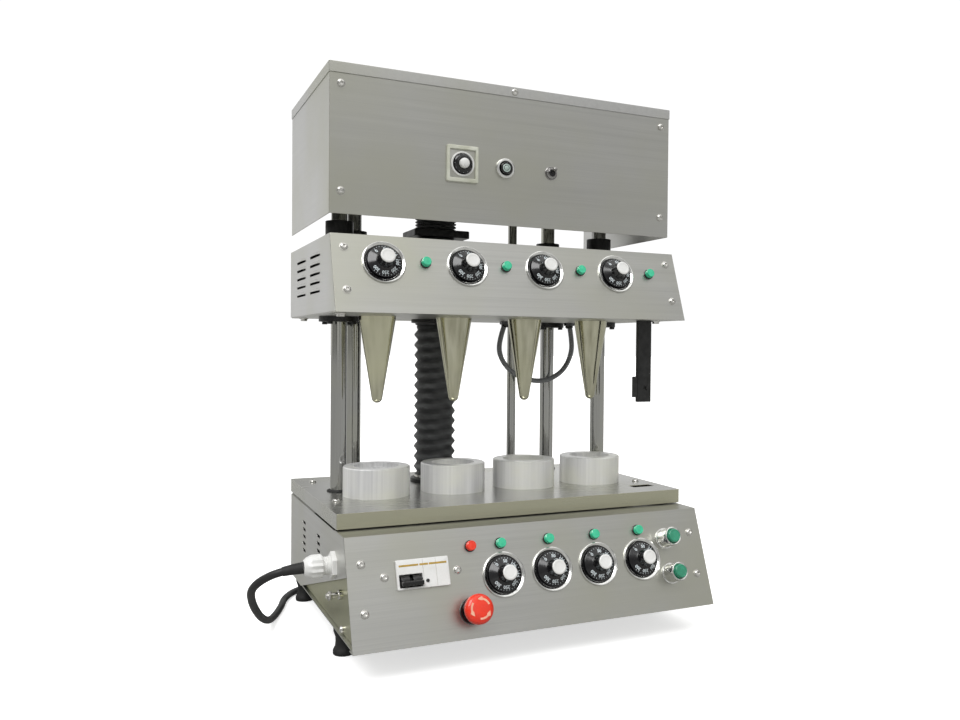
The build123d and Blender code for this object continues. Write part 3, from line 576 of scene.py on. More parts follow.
for name, nodes in CAD_FINISH.items():
    for node in nodes:
        paint(frame["nodes"][node], name)
for node, width in SOFT_EDGES.items():
    soften(frame["nodes"][node], width)

# ================================================================ DIALS, LAMPS AND BUTTONS
BEZEL = [(31.5, 0), (31.5, 1.7), (31.1, 2.6), (30.2, 3.0), (29.2, 2.8), (28.2, 2.1), (26.6, 1.5), (25.9, 0.9),
         (25.9, 0)]
DIAL_PLATE = [(25.95, -0.4), (25.95, 0.9), (0, 0.9)]
LAMP_COLLAR = [(8, -0.3), (8, 1.9), (7.6, 2.3), (7.0, 2.3), (7.0, 0.5)]
LAMP_LENS = [(4.5, -16), (4.5, 0), (6.9, 0.2), (6.9, 7.6), (6.5, 8.5), (5.7, 8.9), (4.4, 8.7), (3.2, 8.9),
             (0, 9.2)]          # on the lamp's tail, with a rounded rim and a slightly raised centre


def thermostats(face, places):
    """Thermostat bodies behind the sheet, each with its capillary boss and two terminals."""
    shapes = []
    for x, s in places:
        shapes.append(solid(block(slab(40, 34, 3), -24, -1.6, 1.5, both=True), face.spot(x, s)))
        shapes.append(solid(block(disc(7), -28, -24.2, 1), face.spot(x, s + 6)))
        terminal = block(slab(1.2, 6, 0.4), -33, -24.2, 0.3)
        shapes += [solid(terminal, face.spot(x + across, s - 8)) for across in (-9, 9)]
    return group(*shapes)


def glyph(text, size, depth):
    """A number as verts and faces, centred, in mm."""
    curve = bpy.data.curves.new("glyph", "FONT")
    curve.body, curve.size, curve.extrude, curve.resolution_u = text, size, depth, 3
    curve.offset = 0.14
    curve.align_x, curve.align_y = "CENTER", "CENTER"
    return meshed(curve)


SKIRT_R, SKIRT_TOP_R, SKIRT_LOW, SKIRT_HIGH = 23.5, 13.0, 4.6, 7.6      # the numbered cone of a knob
FIRST_NUMBER, NUMBER_STEP = 128, 44         # where the first number stands, and the turn to the next
NUMBERS, DEGREES_STEP, TICKS = 7, 50, 4     # numbers on the skirt, heat between them, ticks to each


def dial_marks():
    """Numbers and ticks on a knob's skirt, in the knob's own frame."""
    tilt = math.atan2(SKIRT_HIGH - SKIRT_LOW, SKIRT_R - SKIRT_TOP_R)

    def on_skirt(radius, angle):
        height = SKIRT_LOW + (SKIRT_R - radius) * math.tan(tilt) + 0.02
        place = turned_by(angle - 90) @ Matrix.Translation((0, radius, height))
        return place @ Matrix.Rotation(-tilt, 4, "X")

    shapes = []
    for i in range(NUMBERS):
        angle = FIRST_NUMBER - NUMBER_STEP * i
        shapes.append(placed(glyph(str(DEGREES_STEP * i), 6.4, 0.12), on_skirt(17.6, angle)))
    for i in range((NUMBERS - 1) * TICKS + 1):
        angle = FIRST_NUMBER - NUMBER_STEP * i / TICKS
        length = 2.2 if i % TICKS == 0 else 1.3
        tick = block(slab(0.5, length, 0.1), 0, 0.12, 0.05)
        shapes.append(solid(tick, on_skirt(22.8 - length / 2, angle)))
    return group(*shapes)


MARKS = dial_marks()


def knob(name, node, face, x, s):
    """Thermostat knob: numbered skirt, fluted grip and white cap."""
    at = face.spot(x, s)
    body = turned((6, -6), (6, 3.3), (SKIRT_R, 3.3), (24, 3.6), (24, 4.3), (SKIRT_R, SKIRT_LOW),
                  (SKIRT_TOP_R, SKIRT_HIGH), (12.4, 8.0))
    grip = [(fluted(12.0, 0.0, 12), 8.6), (fluted(12.1, 0.9, 12), 9.6), (fluted(11.5, 0.9, 12), 21.5),
            (fluted(11.2, 0.3, 12), 22.6), (circle(10.6), 23.1)]
    cap = turned((10.5, 22.9), (10.5, 24.0), (10.0, 24.7), (9.2, 25.0), (7.4, 25.0), (6.9, 24.6), (0, 24.6))
    pointer = solid(block(slab(1.0, 1.2, 0.3), 10, 21, 0.2), Matrix.Translation((0, 11.5, 0)))
    piece(name + "_body", solid(body + grip, at), "black_plastic", node, (node,))
    piece(name + "_cap", solid(cap, at), "white", node)
    piece(name + "_marks", placed(group(MARKS, pointer), at), "figures", node)


PANELS = (("head", HEAD, "head", HEAD_DIALS, HEAD_LAMPS, []),
          ("panel", PANEL, "root", PANEL_DIALS, PANEL_LAMPS, [RED_LAMP]))
for side, face, body, dials, lamps, red_lamps in PANELS:
    piece(f"{side}_bezels", at_each(turned(*BEZEL), face, dials, True), "bezel", body,
          (f"{side}_bezels_and_lamps",))
    piece(f"{side}_dial_plates", at_each(turned(*DIAL_PLATE), face, dials), "black_plastic", body)
    piece(f"{side}_thermostats", thermostats(face, dials), "white", body)
    piece(f"{side}_lamp_collars", at_each(turned(*LAMP_COLLAR), face, lamps + red_lamps), "black_plastic",
          body)
    piece(f"{side}_lamp_lenses", at_each(turned(*LAMP_LENS), face, lamps), "green", body)
piece("panel_red_lens", at_each(turned(*LAMP_LENS), PANEL, [RED_LAMP]), "red")
for number in range(1, 5):
    knob(f"head_dial_{number}", f"head_knob_{number}", HEAD, *HEAD_DIALS[number - 1])
    knob(f"mould_dial_{number}", f"mould_knob_{number}", PANEL, *PANEL_DIALS[number - 1])

# start buttons: chrome barrels with domed green caps
BARREL = [(10.4, -1), (10.4, 25.4), (11.0, 26.2), (12.4, 26.6), (13.4, 26.2), (14, 25.2), (14, 19),
          (13.2, 18.4), (13.2, 4), (14, 2.6), (15.6, 2.2), (16, 1.4), (16, 0), (12, -1)]
piece("start_button_barrels", at_each(turned(*BARREL), PANEL, START_BUTTONS.values(), True), "bezel")
piece("control_blocks", at_each(block(slab(24, 24, 2), -32, -7, 1, both=True), PANEL,
                                (*START_BUTTONS.values(), ESTOP)), "black_plastic")
for which, (x, s) in START_BUTTONS.items():
    cap = turned((9.9, -1), (9.9, 29.2), (9.6, 30.2), (8.9, 30.8), (7.9, 30.9), (7.5, 30.5), (0, 30.3))
    piece(f"start_cap_{which}", solid(cap, PANEL.spot(x, s)), "green_cap", f"start_button_{which}",
          (f"start_button_{which}",))

# emergency stop: black collar, red mushroom, three arrows round it
STOP_AT = PANEL.spot(*ESTOP)
piece("estop_collar", spun(STOP_AT, (10.5, -1), (10.5, 8.6), (13.2, 9), (15, 8), (15.4, 3), (18, 2.6),
                           (18.3, 0), (12, -1), ring=True), "black_plastic")
piece("estop_mushroom", spun(STOP_AT, (9.6, 3), (9.6, 18), (15, 19), (18.6, 20), (20, 22.2), (20, 26.5),
                             (19.2, 29.2), (17.2, 31.2), (14, 32.3), (8, 32.9), (0, 33)), "red",
      "estop_button", ("estop_button",))


def curved_arrow(start, sweep, radius, width, head_width, height):
    """Flat arrow bent round a centre, as a thin closed plate."""
    steps, neck = 10, 0.7               # the head starts at the neck's share of the way
    inner, outer = [], []
    for i in range(steps + 1):
        a = math.radians(start + sweep * i / steps)
        share = i / steps
        half = width / 2 if share < neck else head_width / 2 * (1 - share) / (1 - neck)
        inner.append(((radius - half) * math.cos(a), (radius - half) * math.sin(a)))
        outer.append(((radius + half) * math.cos(a), (radius + half) * math.sin(a)))
    outline = inner + outer[::-1]
    n = len(outline)
    verts = [Vector((x, y, h)) for h in (height - 0.5, height + 0.12) for x, y in outline]
    faces = [tuple(range(n))[::-1], tuple(n + k for k in range(n))]
    faces += [(k, (k + 1) % n, n + (k + 1) % n, n + k) for k in range(n)]
    return verts, faces


arrows = group(*[curved_arrow(start, 84, 12.9, 2.6, 6.0, 32.5) for start in (20, 140, 260)])
piece("estop_arrows", placed(arrows, STOP_AT), "arrow", "estop_button")

# breaker: white case with a well for its double handle, an orange line and a test button
WELL_X, WELL_S, WELL_W, WELL_H = -17.5, -8.5, 32.0, 17.0
LEVERS = (-8.2, 8.2)                # across the well


def on_breaker(layers, x=0.0, s=0.0, ring=False):
    return solid(layers, PANEL.spot(BREAKER[0] + x, BREAKER[1] + s), ring)


def well(inset):
    return rounded_box(WELL_W - 2 * inset, WELL_H - 2 * inset, 1.0, WELL_X, WELL_S)


case = block(slab(73, 39, 1.5), 0, 5, 0.9) + [(well(-0.4), 5), (well(0), 4.6), (well(0), -7.5)]
piece("breaker_case", on_breaker(case, ring=True), "white", "root", ("breaker",))
piece("breaker_body", on_breaker(block(slab(69, 36, 2), -40, -8, 1.5, both=True)), "white")
piece("breaker_well_floor", on_breaker(block(slab(WELL_W, WELL_H, 1), -8, -7.2, 0.1), WELL_X, WELL_S),
      "black_plastic")
piece("breaker_line", group(*[on_breaker(block(slab(width, 2.6, 0.3), 4.8, 5.15, 0.1), x, 11.4)
                              for x, width in ((-19.5, 27), (1.5, 12), (21, 25))]), "orange")
piece("breaker_test_button", on_breaker(block(disc(2.4), 4.5, 6.2, 0.6), 5, -10.5), "black_plastic")
piece("breaker_seams", group(*[on_breaker(block(slab(0.35, 37, 0.1), 4.6, 5.04, 0.02), x)
                               for x in (0, 18.2)]), "band")


def breaker_handle():
    """Two levers out of the well, joined by a ribbed bar, leaning down at rest."""
    at = PANEL.spot(BREAKER[0] + WELL_X, BREAKER[1] + WELL_S, 1) @ turned_by(20, "X")
    barrel = turned_by(90, "Y")
    shapes = [solid(block(disc(7.8), x - 6, x + 6, 0.6, both=True), at @ barrel) for x in LEVERS]
    shapes += [solid(block(slab(9, 5, 1), 2, 12, 0.8), at @ Matrix.Translation((x, 0, 0))) for x in LEVERS]
    shapes.append(solid(block(slab(29.6, 6.4, 1.6), 8.5, 14.5, 1.2, both=True), at))
    rib = block(slab(28, 0.5, 0.2), 14.3, 14.9, 0.2)
    shapes += [solid(rib, at @ Matrix.Translation((0, y, 0))) for y in (-1.6, 0, 1.6)]
    return group(*shapes)


piece("breaker_handle", breaker_handle(), "black_plastic", "breaker_toggle", ("breaker_toggle",))

# ---------------------------------------------------------------- controls on the drive cabinet
CONTROL_SPOTS = [(x, CONTROL_Z) for x in (TIMER_X, POWER_X, TOGGLE_X)]
TIMER, POWER, SWITCH = (CABINET.spot(x, z) for x, z in CONTROL_SPOTS)
rim = block(slab(49, 54, 2), 0, 4.8, 0.9)
rim += [(rounded_box(41.4, 43.6, 1.2), 4.8), (rounded_box(40, 41.6, 1), 3.6), (rounded_box(40, 41.6, 1), 0)]
piece("timer_frame", solid(rim, TIMER, ring=True), "cream", "root", ("upper_control_mounts",))
piece("timer_plate", solid(block(slab(40.4, 42, 1), 0, 1.9, 0.2), TIMER), "panel_steel")
piece("timer_ring", spun(TIMER, (18.4, 1.7), (18.4, 3.2), (17.6, 4.0), (16.2, 4.0), (15.4, 3.2), (15.4, 1.7),
                         ring=True), "white")
piece("timer_dial", spun(TIMER, (15.5, 1.7), (15.5, 2.6), (0, 2.6)), "black_plastic")
piece("timer_knob_skirt", spun(TIMER, (6, -3), (6, 4.3), (14.2, 4.3), (14.4, 5.2), (13.2, 6.4), (9.4, 7.2),
                               (9, 8)), "black_plastic", "timer_knob", ("timer_knob",))
piece("timer_knob_dome", spun(TIMER, (7.4, 7.4), (7.5, 11.6), (6.9, 13.6), (5.2, 14.8), (0, 15.3)), "white",
      "timer_knob")
timer_mark = block(slab(1.0, 2.6, 0.2), 5.2, 6.4, 0.1)
outward = Matrix.Translation((0, 12.2, 0))
piece("timer_knob_marks", group(*[solid(timer_mark, TIMER @ turned_by(30 * k) @ outward) for k in range(12)]),
      "figures", "timer_knob")
control_body = block(slab(24, 24, 2), -36, -3, 1, both=True)
piece("cabinet_control_bodies", at_each(control_body, CABINET, CONTROL_SPOTS), "black_plastic")
piece("power_ring", spun(POWER, (15.5, 0), (15.5, 2.2), (14.8, 3.6), (13.2, 4.4), (11.2, 4.4), (10.2, 3.6),
                         (9.6, 2.4), (9.6, 0), ring=True), "bezel")
piece("power_well", spun(POWER, (9.8, -0.5), (9.8, 0.3), (0, 0.3)), "black_plastic")
piece("power_cap", spun(POWER, (8.8, 3.5), (8.9, 6.4), (8.4, 7.2), (7.4, 7.5), (6.0, 7.1), (0, 7.0)),
      "black_plastic", "power_button", ("power_button",))
piece("power_lens", group(
    spun(POWER, (6.2, 6.8), (6.2, 7.4), (5.8, 7.7), (4.6, 7.7), (4.3, 7.3), (4.3, 6.8), ring=True),
    spun(POWER, (3.6, 6.8), (3.6, 7.5), (3.2, 7.8), (0, 8.0))), "teal_white", "power_button")


def fluted_nut(inset):
    return fluted(8.8 - inset, 0.7, 16)


piece("toggle_nut", group(
    spun(SWITCH, (10.2, 0), (10.2, 0.8), (9.8, 1.1), (6, 1.1), (6, 0), ring=True),
    solid(block(fluted_nut, 1.0, 3.6, 0.6), SWITCH),
    spun(SWITCH, (6.6, 3.4), (6.6, 4.6), (6.2, 5.0), (5.4, 5.0), (5.0, 4.4), (5.0, 3.4), ring=True)),
      "dark_chrome")
piece("toggle_boot", spun(SWITCH, (5.0, 3.5), (5.0, 4.2), (4.4, 4.7), (0, 4.7)), "black_plastic")
pivot = Vector(JOINTS["toggle_tilt"]["pos_m"]) / MM
LEVER_OUT = (0, -1, 0.25)           # the toggle leans up at rest
piece("toggle_stick", spun(Face(pivot, LEVER_OUT).spot(0, 0), (3.4, -3), (4.0, -1), (4.0, 1), (2.6, 3.2),
                           (2.0, 5), (2.3, 12), (3.0, 15.5), (3.1, 17), (2.5, 18.3), (1.4, 18.9), (0, 19)),
      "dark_chrome", "toggle_lever", ("toggle_lever",))


# ================================================================ FASTENERS
def button_screw(at):
    """Dome-headed socket screw standing on a face, with a thin washer."""
    dome = turned((6.1, -0.2), (6.1, 0.6), (5.3, 0.7), (5.3, 1.1), (5.0, 2.2), (4.3, 3.0), (3.3, 3.5),
                  (2.7, 3.6))
    return solid(dome + [(polygon(2.1), 3.5), (polygon(2.05), 1.5), (circle(0.01), 1.2)], at)


def screws(name, places, body="root"):
    piece(name, group(*[button_screw(at) for at in places]), "fastener", body)


HEX_TURNS = (0, 17, 41, 8, 29, 52)      # each screw stopped at its own angle


def on(face, places):
    return [face.spot(x, s, 0, HEX_TURNS[i % len(HEX_TURNS)]) for i, (x, s) in enumerate(places)]


screws("cabinet_screws", on(CABINET, [(x, z) for x in (-264, 264) for z in (CAB_HIGH - 14.5, CAB_LOW + 32)] +
                            [(0, CAB_HIGH + 7.5)]))
screws("head_screws", on(HEAD, [(x, s) for x in (-263.5, 263.5) for s in (97, 33)]), "head")
screws("panel_screws", on(PANEL, [(x, s) for x in (-258, 258) for s in (111.6, 48.4)] +
                          [(BREAKER[0] - 51.9, 92), (BREAKER[0] + 49.6, 92)]))
screws("deck_screws", on(DECK_TOP, [(side * x, FRONT + y) for x, y in ((256, 54), (251, 250))
                                    for side in (-1, 1)]))
BACK = (-1, 0, 0)
screws("cabinet_rear_screws", on(Face((0, CAB_REAR, 0), (0, 1, 0), BACK),
                                 [(x, z) for x in (-262, 262) for z in (CAB_HIGH - 18, FLOOR_Z + 16)]))
screws("head_rear_screws", on(Face((0, HEAD_REAR, 0), (0, 1, 0), BACK),
                              [(x, z) for x in (-264, 264) for z in (HEAD_HIGH - 16, HEAD_LOW + 16)]), "head")
screws("base_rear_screws", on(Face((0, BASE_REAR, 0), (0, 1, 0), BACK),
                              [(x, z) for x in (-260, 0, 260) for z in (BASE_LOW + 16, DECK - 36)]))
RECESS = 6.0
GLAND_PLATE = Face((low("base_shell").x / MM + RECESS, 0, 0), (-1, 0, 0), (0, -1, 0))
STUD_AT = GLAND_PLATE.spot(51 - FRONT, DECK - 108)
piece("earth_stud", group(
    solid(block(prism(6.0), 0.2, 4.6, 0.6), STUD_AT),
    spun(STUD_AT, (3.6, 4), (3.6, 20.2), (3.1, 20.9), (0, 20.9)),
    solid(block(prism(5.6), 13, 18, 0.6, both=True), STUD_AT),
    spun(GLAND_PLATE.spot(61 - FRONT, DECK - 152), (5.0, 0.2), (5.0, 3.2), (4.3, 4.3), (2.4, 4.6), (0, 4.6))),
      "fastener")
HEAD_CORNERS = [(x, -y) for x in (-262, 262) for y in (FRONT + 5, HEAD_REAR - 16)]
piece("under_head_bolts", group(at_each(block(prism(5), -0.2, 4.5, 0.6), UNDER_HEAD, HEAD_CORNERS),
                                at_each(block(disc(7.5), -0.2, 1.2, 0.2), UNDER_HEAD, HEAD_CORNERS)),
      "fastener", "head")

LOUVRE_Y, LOUVRE_TOP, LOUVRE_PITCH, LOUVRE_ROWS = (FRONT + 197, FRONT + 90), DECK + 361.2, 13.2, 5


def louvre_hood(face, x, s, length=74, bulge=2.6, drop=3.2, gauge=0.9):
    """Pressed hood over a slot: its lip stands out of the sheet in the middle and dies out at the ends."""
    stations, arc = 13, 6
    verts = []
    at = face.spot(x, s)
    for i in range(stations):
        share = 2 * i / (stations - 1) - 1
        swell = max(1 - share ** 4, 0.02)
        section = []
        for side in (0, 1):
            for k in range(arc + 1):
                a = math.pi / 2 * (k if side == 0 else arc - k) / arc
                out = (bulge + (gauge if side == 0 else 0)) * math.sin(a) * swell
                up = drop * math.cos(a) - drop * 0.35 + (gauge * math.cos(a) if side == 0 else 0)
                section.append(at @ Vector((share * length / 2, up, out - 0.2)))
        verts += section
    return verts, skin_faces(stations, 2 * (arc + 1))


louvre_hoods = [louvre_hood(face, x, LOUVRE_TOP - LOUVRE_PITCH * row) for y in LOUVRE_Y
                for row in range(LOUVRE_ROWS) for face, x in ((LEFT, -y), (RIGHT, y))]
piece("head_louvre_hoods", group(*louvre_hoods), "shell_steel", "head", sharp=60)

# ================================================================ COLUMN SEALS AND FEET
SEAL = [(12.7, -1), (17.5, -1), (17.5, 1.2), (16.6, 2.2), (13.4, 2.6), (12.7, 2.0)]
piece("column_seals", at_each(turned(*SEAL), DECK_TOP, COLUMNS, True), "rubber")
FOOT = [(0, 0), (12.6, 0), (14.6, 0.5), (15.3, 1.8), (15.3, 6), (14.4, 8.2), (12.2, 12), (11.6, 18),
        (11.8, 25), (13.6, 30), (14.6, 33), (14.6, 41.5), (13.8, 42.9), (0, 42.9)]
feet = [(x, y) for x in (-FOOT_X, FOOT_X) for y in (FOOT_FRONT, FOOT_REAR)]
piece("rubber_feet", at_each(turned(*FOOT), LEVEL, feet), "rubber", "root", ("feet",))

# ================================================================ BELLOWS
BELLOWS_SIDES, ROWS_PER_FOLD = 72, 10
ONE_WAY, OTHER_WAY = 0.62, 0.38         # shares of the folds that climb each way
PUCKER, PUCKERS = 0.25, 9               # depth of the small puckers, and how many go round


def fold(phase):
    """Height of a fold, 0 to 1, along one pitch."""
    return 1 - abs(2 * (phase % 1) - 1)


def bellows(bottom, top, pitch, wall=1.2):
    """Bellows hose: its folds climb round it both ways and cross, and die out at both cuffs."""
    rows = max(int((top - bottom) / pitch * ROWS_PER_FOLD), 12)
    skins = []
    for inner in (0, 1):
        for i in range(rows + 1):
            row = rows - i if inner else i
            z = bottom + (top - bottom) * row / rows
            fade = min(1.0, row / 4, (rows - row) / 4)
            for k in range(BELLOWS_SIDES):
                a = 2 * math.pi * k / BELLOWS_SIDES
                turn, rise = a / (2 * math.pi), (z - bottom) / pitch
                crest = ONE_WAY * fold(rise - turn) + OTHER_WAY * fold(rise + turn)
                pucker = PUCKER * math.sin(PUCKERS * a + 5 * rise)
                r = FOLD_R - FOLD_DEPTH * (1 - crest * fade) + pucker * fade - inner * wall
                skins.append(MM * Vector((SCREW[0] + r * math.cos(a), SCREW[1] + r * math.sin(a), z)))
    return skins, skin_faces(2 * (rows + 1), BELLOWS_SIDES, ring=True)


lower_bottom, lower_top = DECK + 7, HEAD_LOW - 7.5
lower = piece("lower_bellows_hose", bellows(lower_bottom, lower_top, FOLD_PITCH), "bellows", "root",
              ("lower_bellows",), sharp=50)
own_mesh(lower)
CUFF = [(26, 0.2), (40, 0.2), (40.5, 1), (40.5, 4.5), (39.6, 5.5), (34, 6)]
SCREW_ON_DECK, SCREW_UNDER_HEAD = DECK_TOP.spot(*SCREW), UNDER_HEAD.spot(SCREW[0], -SCREW[1])
piece("bellows_base_ring", spun(SCREW_ON_DECK, *CUFF, (33, 12), (31.6, 12.4), (26, 12.4), ring=True),
      "black_steel")
piece("bellows_clamp", spun(SCREW_ON_DECK, (33.0, 7.2), (34.2, 7.2), (34.2, 11.2), (33.0, 11.2), ring=True),
      "fastener")
piece("bellows_top_ring", spun(SCREW_UNDER_HEAD, *CUFF, (33, 9), (26, 9.4), ring=True), "black_steel", "head")
UPPER_PITCH = 5.2
upper = piece("upper_bellows_hose", bellows(NUT_TOP + 0.6, FLOOR_Z - 0.6, UPPER_PITCH), "bellows", None,
              ("upper_bellows",), sharp=50)
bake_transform(upper)


# ================================================================ CORDS
def nurbs(name, points):
    """Curve whose one NURBS spline has these control points, in metres."""
    curve = bpy.data.curves.new(name, "CURVE")
    curve.dimensions = "3D"
    spline = curve.splines.new("NURBS")
    spline.points.add(len(points) - 1)
    for control, point in zip(spline.points, points):
        control.co = (*point, 1)
    spline.order_u = 3
    spline.use_endpoint_u = True
    curve.resolution_u = 10
    return curve


def reach(line):
    return sum((b - a).length for a, b in zip(line, line[1:]))


def stretch_of(line, start, length):
    """Part of a line that begins a distance along it and has the given length."""
    gone, part = 0.0, []
    for a, b in zip(line, line[1:]):
        if start <= gone <= start + length:
            part.append(a)
        gone += (b - a).length
    return part


CORD_D = 0.011
LIE = 5.8               # height of the cord's centre on the floor
LEAD_ROUTE = [(-319.5, -102.85, 134), (-345.5, -99.85, 132), (-369.5, -85.85, 120), (-381.5, -63.85, 102),
              (-377.5, -36.85, 80), (-367.5, -5.85, 56), (-353.5, 31.15, 32), (-337.5, 74.15, 14),
              (-321.5, 121.15, LIE), (-303.5, 169.15, LIE), (-291.5, 215.15, LIE), (-267.5, 255.15, LIE),
              (-226.5, 279.15, LIE), (-180, 279.15, LIE), (-140, 266.15, LIE), (-96, 259.15, LIE)]
COIL_X, COIL_Y = middle("cord_coil")
TURN_POINTS, TURNS = 18, 3
OUTER_R, INNER_R, LIFT = 68.0, 56.2, 11.1
INWARD, UPWARD, OUTWARD = (270, 345), (585, 640), (660, 1010)       # degrees where the cord moves over


def ease(value, start, end):
    """Share of the way from start to end, with a soft start and stop."""
    share = min(max((value - start) / (end - start), 0), 1)
    return share * share * (3 - 2 * share)


def coil_point(angle):
    """Centre of the cord a number of degrees round the coil: two turns on the floor, one on top of them."""
    radius = OUTER_R - (OUTER_R - INNER_R) * (ease(angle, *INWARD) - ease(angle, *OUTWARD))
    z = LIE + LIFT * ease(angle, *UPWARD)
    a = math.radians(angle - 90)
    return COIL_X + radius * math.cos(a), COIL_Y + radius * math.sin(a), z


PLUG_X, PLUG_Y = low("mains_plug").x / MM, middle("mains_plug")[1]
PLUG_Z = 12.0
RELIEF = 32.0
coil = [coil_point(360 * k / TURN_POINTS) for k in range(1, TURN_POINTS * TURNS + 1)]
tail = [(COIL_X + 24, PLUG_Y, LIE + LIFT), (COIL_X + 42, PLUG_Y, LIE + LIFT - 0.4),
        (PLUG_X - RELIEF - 8, PLUG_Y, PLUG_Z + 1.5), (PLUG_X - RELIEF + 8, PLUG_Y, PLUG_Z),
        (PLUG_X + 1, PLUG_Y, PLUG_Z)]
lead_points = [[MM * c for c in point] for point in LEAD_ROUTE + coil + tail]
lead_curve = nurbs("mains_lead", lead_points)
lead_line = meshed(lead_curve)[0]
lead_curve.bevel_depth = CORD_D / 2
lead_curve.bevel_resolution = 6
lead_curve.use_fill_caps = True
lead = linked("mains_lead", lead_curve)
paint(lead, "cord")
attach(lead, "root")
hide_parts("mains_cord", "cord_coil")

GLAND_Z = (low("cord_gland").z + high("cord_gland").z) / 2 / MM
GLAND_FACE = Face((high("cord_gland").x / MM, middle("cord_gland")[1], GLAND_Z), (-1, 0, 0), (0, -1, 0))
GLAND_AT = GLAND_FACE.spot(0, 0)
gland = piece("gland_nylon", group(
    solid(block(prism(16.4), 0, 6, 1.0), GLAND_AT),
    spun(GLAND_AT, (12.5, 5.5), (12.5, 9), (11.8, 9.6), (12.5, 10.2), (11.8, 11.4), (12.5, 12.6), (11.8, 13.8),
         (12.5, 15), (11.8, 16.2), (12.4, 17.4), (12.4, 20.5)),
    solid([(fluted(15.2, 1.8, 12), 17), (fluted(16.2, 1.8, 12), 18.2), (fluted(16.2, 1.8, 12), 31),
           (fluted(15.2, 1.2, 12), 33.5), (circle(13.2), 37.5), (circle(10.6), 40.8), (circle(9.4), 41.8),
           (circle(8.6), 41.4), (circle(8.6), 30)], GLAND_AT)), "white", "root", ("cord_gland",))
BOOT_L = 30.0
RIBBING = 38            # of the rubber sleeves, in radians from end to end


def ringed(start, end, depth):
    """Radius along a ribbed sleeve, from the share of the way."""
    return lambda share: (start + (end - start) * share + depth * math.cos(share * RIBBING)) * MM


boot_line = stretch_of(lead_line, 0.0, BOOT_L * MM)
boot = piece("cord_boot", tube(boot_line, ringed(7.6, 6.0, 0.3)), "rubber")


def plug_shapes():
    """Moulded plug along +X, tapered towards the cord, with grip ribs."""
    at = Face((PLUG_X, PLUG_Y, PLUG_Z), (1, 0, 0), (0, 1, 0)).spot(0, 0)
    sections = ((9, 9, 0), (14, 12, 2.5), (20, 16, 7), (23.4, 19, 13), (24, 21, 20), (24, 21.6, 36),
                (23.4, 21.2, 42.5), (21.6, 19.6, 44))
    shell = [(rounded_box(w, h, min(w, h) * 0.36), z) for w, h, z in sections]
    ribs = [solid(block(slab(24.6, 1.4, 0.6), z, z + 1.4, 0.5, both=True), at @ Matrix.Translation((0, y, 0)))
            for z in (22, 25, 28, 31) for y in (-9.9, 9.9)]
    return solid(shell, at), group(*ribs)


plug_shell, plug_ribs = plug_shapes()
plug_body = piece("plug_body", group(plug_shell, plug_ribs), "cord", "root", ("mains_plug",))
relief_line = stretch_of(lead_line, reach(lead_line) - RELIEF * MM, RELIEF * MM)
relief = piece("plug_relief", tube(relief_line, ringed(6.1, 8.3, 0.35)), "rubber")
pins_at = Face((PLUG_X + 44, PLUG_Y, PLUG_Z), (1, 0, 0), (0, 1, 0))
PINS = ((-5.5, -3.5, 20), (5.5, -3.5, -20), (0, 5, 0))
plug_pins = piece("plug_pins", group(*[solid(block(slab(2, 6, 0.4), -1, 17, 0.7), pins_at.spot(x, s, 0, turn))
                                       for x, s, turn in PINS]), "fastener")

LOOP_Y, LOOP_D = (low("cable_loop").y + high("cable_loop").y) / 2 / MM, 0.009
LOOP_ROUTE = [(209, HEAD_LOW - 1.5), (214, HEAD_LOW - 26), (215, HEAD_LOW - 56), (198, HEAD_LOW - 88),
              (166, HEAD_LOW - 106), (130, HEAD_LOW - 106), (94, HEAD_LOW - 92), (70, HEAD_LOW - 64),
              (68, HEAD_LOW - 34), (80, HEAD_LOW - 2.5)]
loop_curve = nurbs("loop_route", [[MM * x, MM * LOOP_Y, MM * z] for x, z in LOOP_ROUTE])
loop_line = meshed(loop_curve)[0]
bpy.data.curves.remove(loop_curve)
loop = piece("head_cable_loop", tube(loop_line, lambda t: LOOP_D / 2), "grey_cable", "head", ("cable_loop",))
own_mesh(loop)
loop_ends = [(x, -LOOP_Y) for x in (209, 80)]
piece("loop_glands", group(at_each(block(prism(8.5), -0.2, 5, 0.7), UNDER_HEAD, loop_ends),
                           at_each(turned((7, 4.8), (7, 8), (5.4, 10), (4.7, 10)), UNDER_HEAD, loop_ends)),
      "black_plastic", "head")


# ================================================================ STUDIO
def build_floor():
    """Pale floor. It glows a little to the eye, and gives a greyer light to the metal above it."""
    size = 40.0
    mesh = bpy.data.meshes.new("studio_floor")
    corners = [(x * size, y * size, 0) for x, y in ((-1, -1), (1, -1), (1, 1), (-1, 1))]
    mesh.from_pydata(corners, [], [(0, 1, 2, 3)])
    floor = linked("studio_floor", mesh)
    tree = Tree("studio_floor")
    tree.set(Base_Color=tree.blend(tree.noise(0.8), (0.86, 0.86, 0.86), (0.9, 0.9, 0.9)), Roughness=0.9,
             Specular_IOR_Level=0.1, Emission_Strength=0.62, Emission_Color=(1, 1, 1, 1))
    grey = tree.put("BsdfDiffuse", Color=(0.42, 0.42, 0.41, 1))
    tree.seen_only(tree.shader.outputs["BSDF"], grey.outputs["BSDF"], "Material Output")
    mesh.materials.append(tree.material)


# direction of each soft light of the room, the cosines from it where it starts and is full, and its strength
ROOM_BASE = 0.28
ROOM = [
    ((-0.45, 0.88, 0.10), 0.80, 0.97, 0.60),
    ((0.0, 0.0, 1.0), 0.35, 0.90, 0.75),
    ((0.45, -0.88, 0.05), 0.75, 0.98, 0.32),
    ((0.08, -0.85, 0.52), 0.93, 0.99, 0.45),
    ((0.43, 0.87, 0.25), 0.90, 0.985, 0.45),
    ((-0.43, -0.90, 0.0), 0.970, 0.998, 0.40),
]


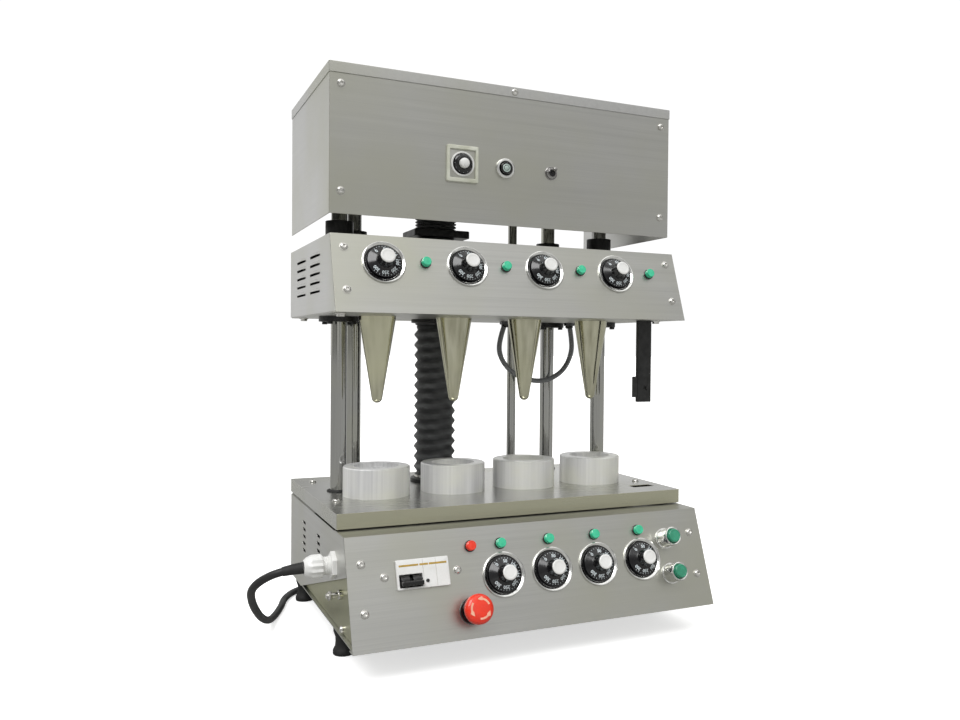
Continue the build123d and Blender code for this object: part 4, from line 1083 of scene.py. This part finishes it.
def build_room():
    """Room light as soft lobes by direction. The camera itself sees plain white behind the machine."""
    world = bpy.data.worlds.new("room")
    scene.world = world
    world.use_nodes = True
    tree = Nodes(world.node_tree, "Generated")
    total = ROOM_BASE
    for direction, start, full, strength in ROOM:
        facing = tree.vector("DOT_PRODUCT", tree.coords, Vector(direction).normalized()).outputs["Value"]
        total = tree.number("ADD", tree.span(facing, 0, strength, start, full, "SMOOTHSTEP"), total)
    bands = tree.noise(1.6, (3.2, 3.2, 0.25), 3.0)
    light = tree.nodes["Background"]
    light.inputs["Color"].default_value = (1.0, 1.0, 0.985, 1)
    uneven = tree.span(bands, 0.45, 1.5, 0.35, 0.65)
    tree.links.new(tree.number("MULTIPLY", total, uneven), light.inputs["Strength"])
    plain_white = tree.put("Background", Color=(1, 1, 1, 1), Strength=1.05)
    tree.seen_only(plain_white.outputs["Background"], light.outputs["Background"], "World Output")


def build_sun(name, direction, strength, width):
    sun = bpy.data.lights.new(name, "SUN")
    sun.energy, sun.angle = strength, math.radians(width)
    lamp = linked(name, sun)
    lamp.rotation_mode = "QUATERNION"
    lamp.rotation_quaternion = (-Vector(direction)).to_track_quat("-Z", "Y")


# where the machine is seen from: left of its front, level with its head
CAMERA_AT = (-0.54148, -1.29268, 0.4322)
CAMERA_YAW, CAMERA_PITCH, CAMERA_ROLL = 25.509, -0.962, 0.509
SENSOR, LENS, SHIFT = 36.0, 32.817, (-0.0598, 0.0025)


def build_camera():
    yaw, pitch, roll = (math.radians(a) for a in (CAMERA_YAW, CAMERA_PITCH, CAMERA_ROLL))
    forward = Vector((math.sin(yaw) * math.cos(pitch), math.cos(yaw) * math.cos(pitch), math.sin(pitch)))
    level = Vector((math.cos(yaw), -math.sin(yaw), 0))
    above = level.cross(forward)
    right = level * math.cos(roll) + above * math.sin(roll)
    up = above * math.cos(roll) - level * math.sin(roll)
    data = bpy.data.cameras.new("camera")
    data.sensor_width, data.lens = SENSOR, LENS
    data.shift_x, data.shift_y = SHIFT
    camera = linked("camera", data)
    basis = Matrix((right, up, -forward)).transposed().to_4x4()
    camera.matrix_world = Matrix.Translation(CAMERA_AT) @ basis
    scene.camera = camera


build_floor()
build_room()
build_sun("key_light", (-0.55, -0.55, 1.0), 1.6, 35)
build_camera()
scene.view_settings.view_transform = "Standard"
